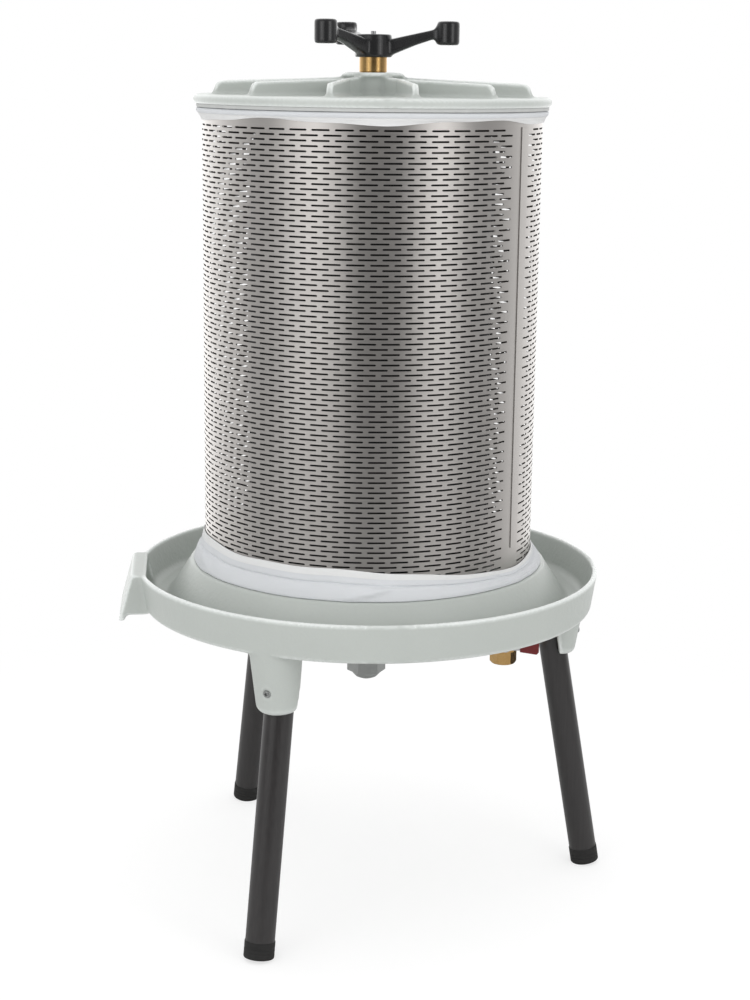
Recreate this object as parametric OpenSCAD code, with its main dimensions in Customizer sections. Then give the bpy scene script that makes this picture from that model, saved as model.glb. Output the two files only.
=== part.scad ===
// Hydraulic fruit press on three splayed legs. A cast pan carries a perforated basket, a water-filled
// rubber bladder stands in its middle, and a cast lid is held down by a star nut on a central tie rod.
// Millimetres. Z is the press axis with the floor at zero, +X points at one leg, the spout is on -X.

/* [Basket] */
// Outside diameter of the perforated basket
basket_d = 442; // [420:1:450]
// Height of the basket
basket_h = 597; // [450:1:700]
// Thickness of the basket's sheet
basket_sheet = 1.5; // [1:0.1:2.5]
// Width of the tab that laps over the basket's vertical seam
lap_w = 17; // [8:0.5:30]
// Thickness of the seam's tab
lap_t = 1; // [0.5:0.1:1.5]
// Direction in which the seam faces
lap_azimuth = -38.4; // [-180:0.1:180]

/* [Cloth cuffs] */
// Thickness of the filter cloth where it is folded over an edge
cloth_t = 1.2; // [0.6:0.1:2]
// Mean height that the upper cuff hangs down the outside
upper_cuff_drop = 11; // [8:0.5:30]
// How far the upper cuff's rolled hem stands out
upper_cuff_roll = 6.4; // [3:0.2:8]
// Mean height that the lower cuff stands up the outside
lower_cuff_rise = 36; // [15:0.5:60]
// How far the lower cuff's foot spreads out on the bed
lower_cuff_spread = 13; // [4:0.5:15]
// Depth of the gathers in the lower cuff
gather_depth = 1.8; // [0:0.1:3]
// Height of the waves along the cuffs' free edges
edge_wave = 3; // [0:0.1:5]
// Height of the cuffs' inner flaps
inner_flap = 9; // [4:0.5:15]

/* [Pan] */
// Width of the trough at the rim, from the slope's foot to the wall
trough_w = 34; // [28:0.5:60]
// Height of the pan's rim above the floor
rim_h = 450; // [420:1:520]
// Depth of the pan from its rim to its underside
pan_depth = 52; // [44:1:70]
// How much the wall leans out over its height
pan_flare = 7; // [2:0.5:12]
// Thickness of the pan's wall
pan_wall = 7; // [5:0.5:10]
// Thickness of the trough's floor
trough_floor = 8; // [5:0.5:12]
// Radius of the cove between the trough's floor and the wall
cove_r = 12; // [6:1:16]
// Height of the pressing bed above the rim
bed_above_rim = 7; // [0:1:20]
// Width of the bed outside the basket
bed_margin = 19; // [16:0.5:24]
// Horizontal run of the slope from the bed to the trough
slope_run = 32; // [20:1:36]
// Thickness of the bed and of its slope
bed_t = 8; // [6:0.5:12]
// Number of ribs under the bed
rib_count = 6; // [3:3:12]
// Thickness of a rib
rib_t = 8; // [5:0.5:12]
// Diameter of the hub where it leaves the bed
hub_d = 110; // [100:1:130]
// Diameter of the hub at its lower end
hub_end_d = 84; // [70:1:95]
// Length of the hub below the bed's top
hub_drop = 135; // [125:1:150]

/* [Spout] */
// Width of the spout
spout_w = 126; // [90:1:150]
// Wall of the spout
spout_wall = 8; // [5:0.5:12]
// Depth of the flat top behind the spout's upper edge
spout_top = 20; // [14:0.5:26]
// Reach of the spout's upper edge past the pan's rim
spout_edge_out = 7; // [5:0.5:17]
// Reach of the drip lip past the pan's rim
spout_lip_out = 24.4; // [15:0.1:32]
// How far the drip lip hangs below the pan's underside
spout_lip_drop = 11; // [4:0.5:25]
// How far the side cheeks hang below the pan's underside
spout_cheek_drop = 3; // [0:0.5:10]

/* [Legs] */
// Outside diameter of a leg tube
leg_d = 38; // [34:0.5:42]
// Wall of a leg tube
leg_wall = 2; // [1.5:0.1:4]
// Lean of the legs away from the axis
leg_splay = 10; // [5:0.5:14]
// How far outside the pan's rim the legs' axes meet the floor
leg_out = 5.8; // [0:0.1:17]
// Wall of a foot cap round the tube
foot_wall = 0.8; // [0.5:0.1:3]
// Height of a foot cap
foot_h = 22; // [12:1:40]
// Thickness of a foot cap's sole
foot_sole = 6; // [3:0.5:10]
// Height worn off the lowest edge of a foot
foot_flat = 1.2; // [0.5:0.1:2.5]
// Height of the leg brackets below the pan's underside
bracket_h = 80; // [60:1:110]
// Thickness of a bracket at its lower end
bracket_wall = 10; // [7:0.5:14]
// Width of a bracket where it joins the pan
bracket_top_w = 68; // [60:1:90]
// Rounding of a bracket's lower edge
bracket_round = 9; // [3:0.5:14]
// Height of the leg screws above the brackets' lower ends
leg_screw_h = 29; // [16:1:46]
// Thread diameter of the leg screws
leg_screw_d = 6; // [5:0.5:8]

/* [Tie rod] */
// Diameter of the rod's shank
rod_d = 30; // [26:0.5:32]
// Diameter of the thread at the rod's upper end
thread_d = 24; // [20:0.5:25]
// Thickness of the washer under the hub
rod_washer_t = 4; // [2:0.5:8]
// Diameter of that washer
rod_washer_d = 56; // [50:1:70]
// Width across the flats of the cap nut
cap_nut_af = 46; // [44:1:50]
// Height of the cap nut's hexagon
cap_nut_hex = 24; // [18:1:30]
// Height of the cap nut's dome
cap_nut_dome = 11; // [8:0.5:16]
// Section of the rod's sealing ring
seal_section = 3.5; // [2:0.1:5]

/* [Bladder] */
// Outside diameter of the support tube in the bladder
core_d = 101.6; // [90:0.1:110]
// Wall of the support tube
core_wall = 2; // [1.5:0.1:4]
// Gap from the top of the support tube up to the lid
core_below_lid = 67; // [60:1:100]
// Diameter of the water holes in the support tube
core_hole_d = 12; // [6:0.5:20]
// Rubber thickness of the bladder
bladder_t = 6; // [4:0.5:10]
// How much the resting bladder bulges between its clamped ends
bladder_bulge = 108; // [40:1:120]
// Width of the clamp bands
clamp_w = 16; // [10:1:25]
// Thickness of the clamp bands
clamp_t = 1.5; // [0.8:0.1:3]

/* [Lid] */
// How far the lid's rim stands out past the basket
lid_overhang = 11; // [8:0.5:20]
// Height of the lid's rim
lid_rim_h = 12; // [8:0.5:18]
// Thickness of the lid's plate
lid_plate = 8; // [6:0.5:12]
// Thickness of the seal under the rim
lid_seal_t = 4; // [2:0.5:6]
// Depth of the skirt that centres the lid in the basket
lid_skirt = 12; // [6:0.5:20]
// Turn of the lid's rib star about the axis
lid_turn = -5.4; // [-30:0.1:30]
// Number of arms of the rib star
arm_count = 6; // [3:1:8]
// Half the distance between an arm's two ribs at their inner ends
arm_inner = 36; // [30:0.5:40]
// Half the distance between an arm's two ribs at their outer ends
arm_outer = 54; // [44:0.5:60]
// Distance of the ribs' outer ends from the lid's edge
arm_inset = 28; // [22:1:52]
// Thickness of the lid's ribs
arm_rib_t = 8; // [5:0.5:12]
// Height of the ribs at their outer ends
arm_end_h = 17; // [10:0.5:24]
// Height of the boss above the lid's plate
boss_h = 29; // [26:0.5:45]
// Diameter of the boss's top disc
boss_d = 78; // [66:1:100]
// Thickness of the boss's top disc
boss_disc = 5; // [3:0.5:10]

/* [Star nut] */
// Wall of the brass bush round its thread
bush_wall = 6; // [5:0.5:8]
// Length of the brass bush that shows under the handle
bush_show = 19; // [10:0.5:30]
// Depth of the brass bush in the handle
bush_in = 21; // [15:0.5:22]
// Diameter of the handle's hub
handle_hub_d = 48; // [46:0.5:60]
// Height of the handle's hub
handle_hub_h = 29; // [27:0.5:40]
// Distance of the handle's end knobs from the axis
knob_reach = 97; // [80:1:120]
// Diameter of an end knob
knob_d = 29; // [22:0.5:36]
// Height of an end knob
knob_h = 30; // [20:0.5:40]
// How far the end knobs stand above the hub
knob_lift = 17; // [5:0.5:25]
// Direction of the first arm
handle_turn = -13.4; // [-60:0.1:60]
// Thickness of the thrust washer
thrust_t = 4; // [2:0.5:6]
// Diameter of the thrust washer
thrust_d = 47; // [44:0.5:56]

/* [Water inlet] */
// Direction of the inlet from the axis
inlet_azimuth = -5.4; // [-8:0.1:8]
// Gap between the valve's body and the leg beside it
valve_leg_gap = 23.2; // [18:0.1:40]
// How far the inlet pipe's axis is below the pan's underside
inlet_drop = 6; // [4:1:18]
// Outside diameter of the inlet pipe
inlet_d = 26.9; // [21:0.1:30]
// Wall of the inlet pipe
inlet_wall = 2.6; // [1.5:0.1:4]
// Bend radius of the elbow
elbow_r = 27; // [24:0.5:34]
// Outside diameter of the elbow's collars
collar_d = 37; // [35:0.5:42]
// Outside diameter of the valve body
valve_d = 36; // [34:0.5:40]
// Height of the valve body
valve_h = 40; // [38:0.5:50]
// Width across the flats of the hose end
hose_af = 32; // [30:0.5:38]
// Height of the hose end's hexagon
hose_hex_h = 18; // [14:0.5:26]
// Bore of the hose end's thread
hose_bore_d = 24.2; // [20:0.1:25]
// Diameter of the valve's ball
ball_d = 24; // [20:0.5:25]
// Water way through the ball
ball_bore = 15; // [10:0.5:16]
// Diameter of the valve's stem
stem_d = 10; // [8:0.5:12]
// Length of the lever from the stem to its tip
lever_l = 46; // [36:1:50]
// Width of the lever's sleeve
lever_w = 20; // [14:0.5:24]
// Thickness of the lever's steel strip
lever_t = 3; // [2:0.5:5]

/* [Fits] */
// Gap between pieces that move past each other
move_gap = 0.3; // [0.2:0.05:0.6]
// Radial play of a turning fit
turn_play = 0.05; // [0.02:0.01:0.1]

/* [Hidden] */
$fn = 96;
eps = 0.01;
past = 5;
cloth_steps = 90;
dip_share = 0.5;
dip_angle = -38;
dip_reach = 36;
lap_facets = 360;
cove_steps = 6;
leg_angles = [0, -120, 120];
basket_r = basket_d / 2;
basket_in = basket_r - basket_sheet;
// Gap that keeps a many-sided cloth ring clear of the round sheet inside it
cloth_gap = move_gap + basket_r * (1 - cos(180 / cloth_steps));

// Heights, from the floor up
pan_z = rim_h - pan_depth;
trough_z = pan_z + trough_floor;
bed_z = rim_h + bed_above_rim;
hub_z = bed_z - hub_drop;
basket_z = bed_z + 2 * move_gap + cloth_t;
basket_top = basket_z + basket_h;
seal_z = basket_top + cloth_t + 2 * move_gap;
lid_z = seal_z + lid_seal_t;
lid_top = lid_z + lid_rim_h;
boss_top = lid_top + boss_h;
handle_z = boss_top + bush_show;
handle_top = handle_z + handle_hub_h;
bush_top = handle_z + bush_in;
core_top = lid_z - core_below_lid;
bracket_z = pan_z - bracket_h;
leg_screw_z = bracket_z + leg_screw_h;
inlet_z = pan_z - inlet_drop;

// Pan
bed_r = basket_r + bed_margin;
slope_r = bed_r + slope_run;
pan_r = slope_r + trough_w + pan_wall;
pan_foot_r = pan_r - pan_flare;
edge_break = 3;
slope_per_mm = slope_run / (bed_z - trough_z);
slope_skin = bed_t * sqrt(1 + slope_per_mm * slope_per_mm);
rim_round = pan_wall / 4;
core_r = core_d / 2;
core_in = core_r - core_wall;
spigot_h = 18;
hub_root = 6;
rod_r = rod_d / 2;
water_gap = 4;
passage_r = rod_r + water_gap;
port_r = inlet_d / 2;
port_wall = 8;
port_floor = inlet_z - port_r - water_gap;
groove_play = 0.2;
seal_groove_z = hub_z + 14;
rib_sink = 4;
rib_end_r = slope_r + (trough_floor - rib_sink) * slope_per_mm - slope_skin / 2;
rib_run = 55;
rib_rise = 30;
spout_edge_x = pan_r + spout_edge_out;
spout_lip_x = pan_r + spout_lip_out;
way_start = pan_r - pan_wall - cove_r - 4;

// Rod and star nut
chamfer = 2;
rod_end = hub_z - rod_washer_t - cap_nut_hex - chamfer;
thread_r = thread_d / 2;
bush_d = thread_d + 2 * bush_wall;
bush_cap = 6;
bush_bore_top = bush_top - bush_cap;
thread_end_gap = 4;
thread_top = bush_bore_top - thread_end_gap;
shoulder_drop = 20;
shoulder_z = lid_z - lid_skirt - shoulder_drop;
bush_step = 1.6;
spigot_r = bush_d / 2 - bush_step;
ring_t = 1.5;
ring_w = 3;
ring_groove = 1.2;
bush_foot = 8;
washer_room = 1;
counterbore_r = thrust_d / 2 + washer_room;
handle_screw_r = 2.5;
handle_screw_hold = 5;
cap_spigot = 15;
cap_disc = 8;
cap_boss = 14;
cap_neck = 10;
core_nut_h = 12;

// Bladder, with the same gap and straight clamped length at both ends
bladder_gap = 4;
bladder_end = 36;
bladder_ease = 120;
bladder_steps = 8;
clamp_inset = 10;
clamp_box = [8, 18, 12];
clamp_screw_r = 4.5;
clamp_screw_l = 32;
counterbore_h = thrust_t + bush_foot;

// Legs
leg_r = leg_d / 2;
foot_r = leg_r + foot_wall;
leg_circle_r = pan_r + leg_out;
foot_end = (foot_r * sin(leg_splay) - foot_flat) / cos(leg_splay);
function leg_axis_r(z) = leg_circle_r - z * tan(leg_splay);
bracket_foot_x = leg_axis_r(bracket_z);
bracket_top_x = pan_foot_r - bracket_top_w / 2;
bracket_lean = atan2(bracket_top_x - bracket_foot_x, bracket_h + trough_floor / 2);
bracket_len = norm([bracket_top_x - bracket_foot_x, bracket_h + trough_floor / 2]);
bracket_foot_r = leg_r + bracket_wall;
bracket_swell = (bracket_top_w / 2 - bracket_foot_r) / (bracket_len - bracket_round);
// Distance of a bracket's outer face from the axis at a height
function bracket_face(z) =
    let (s = (z - bracket_z) / cos(bracket_lean))
        bracket_foot_x + s * sin(bracket_lean)
        + (bracket_foot_r + bracket_swell * (s - bracket_round)) / cos(bracket_lean);
bracket_open = 4;
pad_wall = 6;
screw_sink = 1.5;
screw_room = 1.5;
screw_face_x = bracket_face(leg_screw_z) - screw_sink;
screw_head_r = leg_screw_d * 0.875;
screw_head_h = leg_screw_d * 0.55;
screw_in_x = leg_axis_r(leg_screw_z) + leg_r - leg_wall;
insert_l = 8;
screw_tip_x = screw_in_x - insert_l;
screw_l = screw_face_x - screw_tip_x;
insert_set = 2;

// Lid and star
lid_r = basket_r + lid_overhang;
skirt_play = 3;
skirt_r = basket_in - cloth_t - move_gap - skirt_play;
skirt_t = 7;
boss_lip = 5;
boss_neck_r = boss_d / 2 - boss_lip;
boss_under = 6;
lid_rib_sink = 2;
arm_reach = lid_r - arm_inset;
arm_step = 360 / arm_count;
arm_split = arm_inner / tan(arm_step / 2);
arm_diverge = atan2(arm_outer - arm_inner, arm_reach - arm_split);
arm_len = norm([arm_outer - arm_inner, arm_reach - arm_split]);

// Valve
pipe_inset = 6;
pipe_start = passage_r + pipe_inset;
elbow_socket = 7;
collar_step = 2;
elbow_swell = 0.8;
valve_x = leg_axis_r(inlet_z) - leg_r - valve_d / 2 - valve_leg_gap;
pipe_l = valve_x - elbow_r + elbow_socket - pipe_start;
valve_top = inlet_z - elbow_r;
valve_z = valve_top - valve_h;
ball_r = ball_d / 2;
seat_t = 4;
seat_r = ball_r + 1;
ball_z = valve_z + ball_r + seat_t;
hose_end_z = valve_z - hose_hex_h;
hose_chamfer = 2.4;
hose_thread_l = 14;
hose_lap = 2;
stem_r = stem_d / 2;
stem_end_r = stem_r - 1.5;
stem_wall = 6;
stem_boss_r = stem_r + stem_wall;
stem_boss_out = 9;
stem_boss_y = valve_d / 2 + stem_boss_out;
tongue_t = 3.8;
tongue_play = 0.1;
tongue_l = 2.4;
gland_h = 5;
gland_af = stem_d + 7;
lever_gap = 2;
lever_y = stem_boss_y + gland_h + lever_gap + move_gap;
lever_z = lever_y + 0.2;
lever_eye_r = stem_r + 4;
sleeve_t = 2;
sleeve_start = 20;
sleeve_droop = 1.5;
strip_w = lever_w - 8;
strip_l = lever_l - 4;
lever_nut_h = 5;
lever_nut_af = stem_d + 3;

// Share of a smooth rise from 0 to 1
function eased(t) = t * t * (3 - 2 * t);

// Cloth rings: the free edges run in slow waves, and the lower cuff stands in gathers, lower on one side
function upper_edge(a) = basket_top - upper_cuff_drop
    + edge_wave * (sin(5 * a + 20) + 0.3 * sin(13 * a));
function cuff_dip(a) = dip_share * exp(-pow(((a - dip_angle + 540) % 360 - 180) / dip_reach, 2));
function lower_edge(a) = basket_z + lower_cuff_rise * (1 - cuff_dip(a))
    + edge_wave * (0.7 * sin(4 * a + 60) + 0.4 * sin(9 * a));
function gather(a) = gather_depth * (sin(17 * a) + 0.6 * sin(29 * a + 40)) / 1.6;

// A round tube standing on z
module tube(outer_r, inner_r, z, h) {
    translate([0, 0, z])
        difference() {
            cylinder(r = outer_r, h = h);
            translate([0, 0, -past])
                cylinder(r = inner_r, h = h + 2 * past);
        }
}

// A hexagon prism standing on z, given by its width across the flats
module hexagon(af, z, h) {
    translate([0, 0, z])
        cylinder(r = af / sqrt(3), h = h, $fn = 6);
}

// A flat outline given as [distance from the axis, height], t thick, standing in the plane through the axis
module upright(outline, t) {
    translate([0, t / 2, 0])
        rotate([90, 0, 0])
            linear_extrude(height = t)
                polygon(outline);
}

// Puts its children in a leg's own frame, with z up the leg from the floor and x away from the axis
module along_leg(angle) {
    rotate([0, 0, angle])
        translate([leg_circle_r, 0, 0])
            rotate([0, -leg_splay, 0])
                children();
}

// Puts its children in the valve's frame, with z up the water way and x away from the press axis
module at_valve() {
    rotate([0, 0, inlet_azimuth])
        translate([valve_x, 0, ball_z])
            children();
}

// Closed ring swept round the axis from one outline per step, each outline a loop of [radius, height]
module swept_ring(outlines) {
    steps = len(outlines);
    n = len(outlines[0]);
    points = [
        for (i = [0 : steps - 1])
            for (p = outlines[i])
                [p[0] * cos(360 * i / steps), p[0] * sin(360 * i / steps), p[1]]
    ];
    faces = [
        for (i = [0 : steps - 1])
            for (j = [0 : n - 1])
                let (a = i * n + j, b = i * n + (j + 1) % n)
                    let (c = ((i + 1) % steps) * n + (j + 1) % n, d = ((i + 1) % steps) * n + j)
                        for (face = [[a, b, c], [a, c, d]])
                            face
    ];
    polyhedron(points = points, faces = faces);
}

// Section of the pan with its trough, bed and hub, to be turned about the axis
module pan_section() {
    cove_x = pan_foot_r - pan_wall;
    polygon(concat(
        [
            [rod_r + turn_play, hub_z],
            [hub_end_d / 2, hub_z],
            [hub_d / 2, bed_z - bed_t - hub_root],
            [hub_d / 2 + hub_root, bed_z - bed_t],
            [bed_r + bed_t * slope_per_mm - slope_skin, bed_z - bed_t],
            [slope_r + trough_floor * slope_per_mm - slope_skin, pan_z],
            [pan_foot_r - edge_break, pan_z],
            [pan_foot_r, pan_z + edge_break],
            [pan_r, rim_h - edge_break],
            [pan_r - rim_round, rim_h],
            [pan_r - pan_wall + rim_round, rim_h],
            [pan_r - pan_wall, rim_h - edge_break]
        ],
        [
            for (i = [0 : cove_steps])
                let (a = 90 * i / cove_steps)
                    [cove_x - cove_r + cove_r * cos(a), trough_z + cove_r - cove_r * sin(a)]
        ],
        [
            [slope_r, trough_z],
            [bed_r, bed_z],
            [core_in - turn_play, bed_z],
            [core_in - turn_play, bed_z + spigot_h],
            [passage_r, bed_z + spigot_h],
            [passage_r, port_floor],
            [rod_r + turn_play, port_floor],
            [rod_r + turn_play, seal_groove_z + seal_section + groove_play],
            [rod_r + seal_section + groove_play, seal_groove_z + seal_section + groove_play],
            [rod_r + seal_section + groove_play, seal_groove_z],
            [rod_r + turn_play, seal_groove_z]
        ]
    ));
}

// Everything below the middle of the slope's skin, which keeps the leg pads inside the casting
module under_slope() {
    skin = slope_skin / 2;
    inner = leg_axis_r(pan_z) - leg_r - 2 * pad_wall;
    rotate_extrude()
        polygon([
            [inner, pan_z],
            [slope_r + trough_floor * slope_per_mm - skin, pan_z],
            [bed_r + bed_t * slope_per_mm - skin, bed_z - bed_t],
            [inner, bed_z - bed_t]
        ]);
}

// One leg's bracket: half round, open towards the axis, growing out of the pan's underside
module leg_bracket(angle) {
    difference() {
        rotate([0, 0, angle])
            translate([bracket_foot_x, 0, bracket_z])
                rotate([0, bracket_lean, 0])
                    rotate_extrude()
                        polygon(concat(
                            [[0, 0]],
                            [
                                for (i = [0 : cove_steps])
                                    let (a = 90 * i / cove_steps)
                                        [
                                            bracket_foot_r - bracket_round * (1 - sin(a)),
                                            bracket_round * (1 - cos(a))
                                        ]
                            ],
                            [[bracket_top_w / 2, bracket_len], [0, bracket_len]]
                        ));
        along_leg(angle) {
            cylinder(r = leg_r, h = rim_h);
            translate([bracket_open - 2 * bracket_top_w, -bracket_top_w, 0])
                cube([2 * bracket_top_w, 2 * bracket_top_w, rim_h]);
        }
        rotate([0, 0, angle])
            translate([0, 0, leg_screw_z])
                rotate([0, 90, 0]) {
                    cylinder(r = leg_screw_d / 2, h = pan_r);
                    translate([0, 0, screw_face_x])
                        cylinder(r = screw_head_r + screw_room, h = pan_r);
                }
    }
}

// The spout's outside, before its water way is cut
module spout_block() {
    upright([
        [-(spout_edge_x - spout_top), rim_h],
        [-spout_edge_x, rim_h],
        [-spout_lip_x, pan_z - spout_lip_drop],
        [-(spout_lip_x - spout_wall), pan_z - spout_lip_drop],
        [-(spout_lip_x - spout_wall - 2), pan_z - spout_cheek_drop],
        [-(pan_foot_r - pan_wall), pan_z - spout_cheek_drop],
        [-(pan_foot_r - pan_wall), trough_z]
    ], spout_w);
}

// The way from the trough through the wall and down behind the lip
module spout_way() {
    inner_w = spout_w - 2 * spout_wall;
    upright([
        [-way_start, trough_z],
        [-way_start, rim_h - spout_wall],
        [-(spout_edge_x - spout_wall), rim_h - spout_wall],
        [-(spout_lip_x - spout_wall), pan_z - spout_lip_drop - eps],
        [-(pan_foot_r + edge_break), pan_z - spout_lip_drop - eps],
        [-(pan_foot_r + edge_break), trough_z]
    ], inner_w);
}

module base_pan() {
    color([0.74, 0.77, 0.74])
        difference() {
            union() {
                rotate_extrude()
                    pan_section();
                for (angle = leg_angles) {
                    leg_bracket(angle);
                    intersection() {
                        rotate([0, 0, angle])
                            translate([leg_axis_r(pan_z), 0, pan_z])
                                cylinder(r = leg_r + pad_wall, h = bed_z - pan_z);
                        under_slope();
                    }
                }
                for (i = [0 : rib_count - 1])
                    rotate([0, 0, (i + 0.5) * 360 / rib_count])
                        upright([
                            [hub_end_d / 2 - rib_sink, bed_z - bed_t / 2],
                            [hub_end_d / 2 - rib_sink, hub_z + rib_rise],
                            [hub_d / 2 + rib_run, pan_z + rib_sink],
                            [rib_end_r, pan_z + rib_sink],
                            [bed_r + bed_t * slope_per_mm - slope_skin / 2, bed_z - bed_t],
                            [bed_r - slope_skin, bed_z - bed_t / 2]
                        ], rib_t);
                rotate([0, 0, inlet_azimuth])
                    translate([pipe_start, 0, inlet_z])
                        rotate([0, 90, 0])
                            cylinder(r = port_r + port_wall, h = hub_d / 2 + water_gap - pipe_start);
                spout_block();
            }
            spout_way();
            rotate([0, 0, inlet_azimuth])
                translate([rod_r + water_gap / 2, 0, inlet_z])
                    rotate([0, 90, 0])
                        cylinder(r = port_r, h = hub_d / 2 + past);
        }
}

module leg(angle) {
    color([0.2, 0.19, 0.19])
        difference() {
            along_leg(angle)
                tube(leg_r, leg_r - leg_wall, foot_end + foot_sole, rim_h);
            translate([-pan_r, -pan_r, pan_z])
                cube([2 * pan_r, 2 * pan_r, rim_h]);
            rotate([0, 0, angle])
                translate([0, 0, leg_screw_z])
                    rotate([0, 90, 0])
                        translate([0, 0, leg_axis_r(leg_screw_z)])
                            cylinder(r = leg_screw_d / 2, h = leg_d);
        }
}

module right_leg() { leg(leg_angles[0]); }
module front_leg() { leg(leg_angles[1]); }
module rear_leg() { leg(leg_angles[2]); }

module foot(angle) {
    color([0.07, 0.07, 0.07])
        difference() {
            along_leg(angle)
                difference() {
                    translate([0, 0, foot_end])
                        cylinder(r = foot_r, h = foot_h);
                    translate([0, 0, foot_end + foot_sole])
                        cylinder(r = leg_r, h = foot_h);
                }
            translate([-2 * leg_circle_r, -2 * leg_circle_r, -2 * foot_h])
                cube([4 * leg_circle_r, 4 * leg_circle_r, 2 * foot_h]);
        }
}

module right_foot() { foot(leg_angles[0]); }
module front_foot() { foot(leg_angles[1]); }
module rear_foot() { foot(leg_angles[2]); }

// Button-head screws through the brackets into the legs
module leg_screws() {
    color([0.72, 0.73, 0.66])
        for (angle = leg_angles)
            rotate([0, 0, angle])
                translate([0, 0, leg_screw_z])
                    rotate([0, 90, 0])
                        difference() {
                            union() {
                                translate([0, 0, screw_tip_x])
                                    cylinder(r = leg_screw_d / 2, h = screw_l + eps);
                                translate([0, 0, screw_face_x])
                                    rotate_extrude()
                                        polygon([
                                            [0, 0],
                                            [screw_head_r, 0],
                                            [screw_head_r * 0.95, screw_head_h * 0.4],
                                            [screw_head_r * 0.75, screw_head_h * 0.8],
                                            [screw_head_r * 0.5, screw_head_h],
                                            [0, screw_head_h]
                                        ]);
                            }
                            translate([0, 0, screw_face_x + screw_head_h * 0.35])
                                cylinder(r = leg_screw_d / 3 / cos(30), h = screw_head_h, $fn = 6);
                        }
}

// Insert nuts set in the legs' walls
module leg_insert_nuts() {
    color([0.75, 0.75, 0.72])
        for (angle = leg_angles)
            rotate([0, 0, angle])
                translate([0, 0, leg_screw_z])
                    rotate([0, 90, 0])
                        tube(leg_screw_d * 0.75, leg_screw_d / 2, screw_tip_x - insert_set, insert_l);
}

module tie_rod() {
    color([0.7, 0.71, 0.72])
        rotate_extrude()
            polygon([
                [0, rod_end],
                [rod_r - chamfer, rod_end],
                [rod_r, rod_end + chamfer],
                [rod_r, shoulder_z],
                [thread_r, shoulder_z + chamfer],
                [thread_r, thread_top - edge_break],
                [thread_r - edge_break, thread_top],
                [0, thread_top]
            ]);
}

module tie_rod_washer() {
    color([0.66, 0.67, 0.68])
        tube(rod_washer_d / 2, rod_r, hub_z - rod_washer_t, rod_washer_t);
}

// Cap nut that takes the rod's pull under the hub
module tie_rod_nut() {
    nut_z = hub_z - rod_washer_t - cap_nut_hex;
    color([0.6, 0.62, 0.63])
        difference() {
            union() {
                hexagon(cap_nut_af, nut_z, cap_nut_hex);
                rotate_extrude()
                    polygon([
                        [0, nut_z - cap_nut_dome],
                        [cap_nut_af * 0.18, nut_z - cap_nut_dome],
                        [cap_nut_af * 0.32, nut_z - cap_nut_dome * 0.75],
                        [cap_nut_af * 0.41, nut_z - cap_nut_dome * 0.35],
                        [cap_nut_af * 0.43, nut_z + 1],
                        [0, nut_z + 1]
                    ]);
            }
            translate([0, 0, rod_end - 1])
                cylinder(r = rod_r, h = cap_nut_hex + 2 * past);
        }
}

module rod_seal() {
    section_r = seal_section / 2;
    color([0.08, 0.08, 0.08])
        rotate_extrude()
            translate([rod_r + section_r + groove_play / 2, seal_groove_z + section_r + groove_play / 2])
                circle(r = section_r, $fn = 24);
}

// Support tube in the bladder, drilled to let the water through
module core_tube() {
    rows = 4;
    color([0.72, 0.73, 0.74])
        difference() {
            tube(core_r, core_in, bed_z, core_top - bed_z);
            for (i = [1 : rows])
                translate([0, 0, bed_z + i * (core_top - bed_z) / (rows + 1)])
                    for (angle = [0, 90])
                        rotate([90, 0, angle + 45 * (i % 2)])
                            cylinder(r = core_hole_d / 2, h = core_d, center = true);
        }
}

module core_cap() {
    color([0.74, 0.77, 0.74])
        rotate_extrude()
            polygon([
                [rod_r + turn_play, core_top - cap_spigot],
                [core_in - turn_play, core_top - cap_spigot],
                [core_in - turn_play, core_top],
                [core_r, core_top],
                [core_r, core_top + cap_disc - chamfer],
                [core_r - chamfer, core_top + cap_disc],
                [rod_r + cap_neck + chamfer, core_top + cap_disc],
                [rod_r + cap_neck, core_top + cap_boss],
                [rod_r + turn_play, core_top + cap_boss]
            ]);
}

module core_nut() {
    color([0.66, 0.67, 0.68])
        difference() {
            hexagon(cap_nut_af, core_top + cap_boss, core_nut_h);
            translate([0, 0, core_top])
                cylinder(r = rod_r, h = cap_boss + core_nut_h + past);
        }
}

// Barrel of rubber, clamped at both ends over the support tube
module bladder() {
    low = bed_z + bladder_gap;
    high = core_top - bladder_gap;
    inner = core_r + turn_play;
    ease_z = high - bladder_end - bladder_ease;
    shares = [for (k = [0 : bladder_steps]) k / bladder_steps];
    side = concat(
        [[inner, low]],
        [for (t = shares) [inner + bladder_bulge * eased(t), low + bladder_end + bladder_ease * t]],
        [for (t = shares) [inner + bladder_bulge * eased(1 - t), ease_z + bladder_ease * t]],
        [[inner, high]]
    );
    last = len(side) - 1;
    color([0.1, 0.1, 0.1])
        rotate_extrude()
            polygon(concat(
                [for (p = side) [p[0] + bladder_t, p[1]]],
                [for (i = [0 : last]) side[last - i]]
            ));
}

// Worm-drive band round an end of the bladder
module bladder_clamp(z) {
    band_r = core_r + turn_play + bladder_t + turn_play;
    color([0.7, 0.71, 0.72])
        union() {
            tube(band_r + clamp_t, band_r, z, clamp_w);
            translate([band_r + clamp_t / 2, -clamp_box[1] / 2, z + clamp_w / 2 - clamp_box[2] / 2])
                cube(clamp_box);
            translate([band_r + clamp_t + clamp_box[0] / 2, 0, z + clamp_w / 2])
                rotate([90, 0, 0])
                    cylinder(r = clamp_screw_r, h = clamp_screw_l, center = true);
        }
}

module lower_clamp() { bladder_clamp(bed_z + clamp_inset); }
module upper_clamp() { bladder_clamp(core_top - clamp_inset - clamp_w); }

// Pipe from the hub's port out to the elbow
module inlet_pipe() {
    color([0.62, 0.63, 0.63])
        rotate([0, 0, inlet_azimuth])
            translate([0, 0, inlet_z])
                rotate([0, 90, 0])
                    tube(port_r, port_r - inlet_wall, pipe_start, pipe_l);
}

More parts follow.
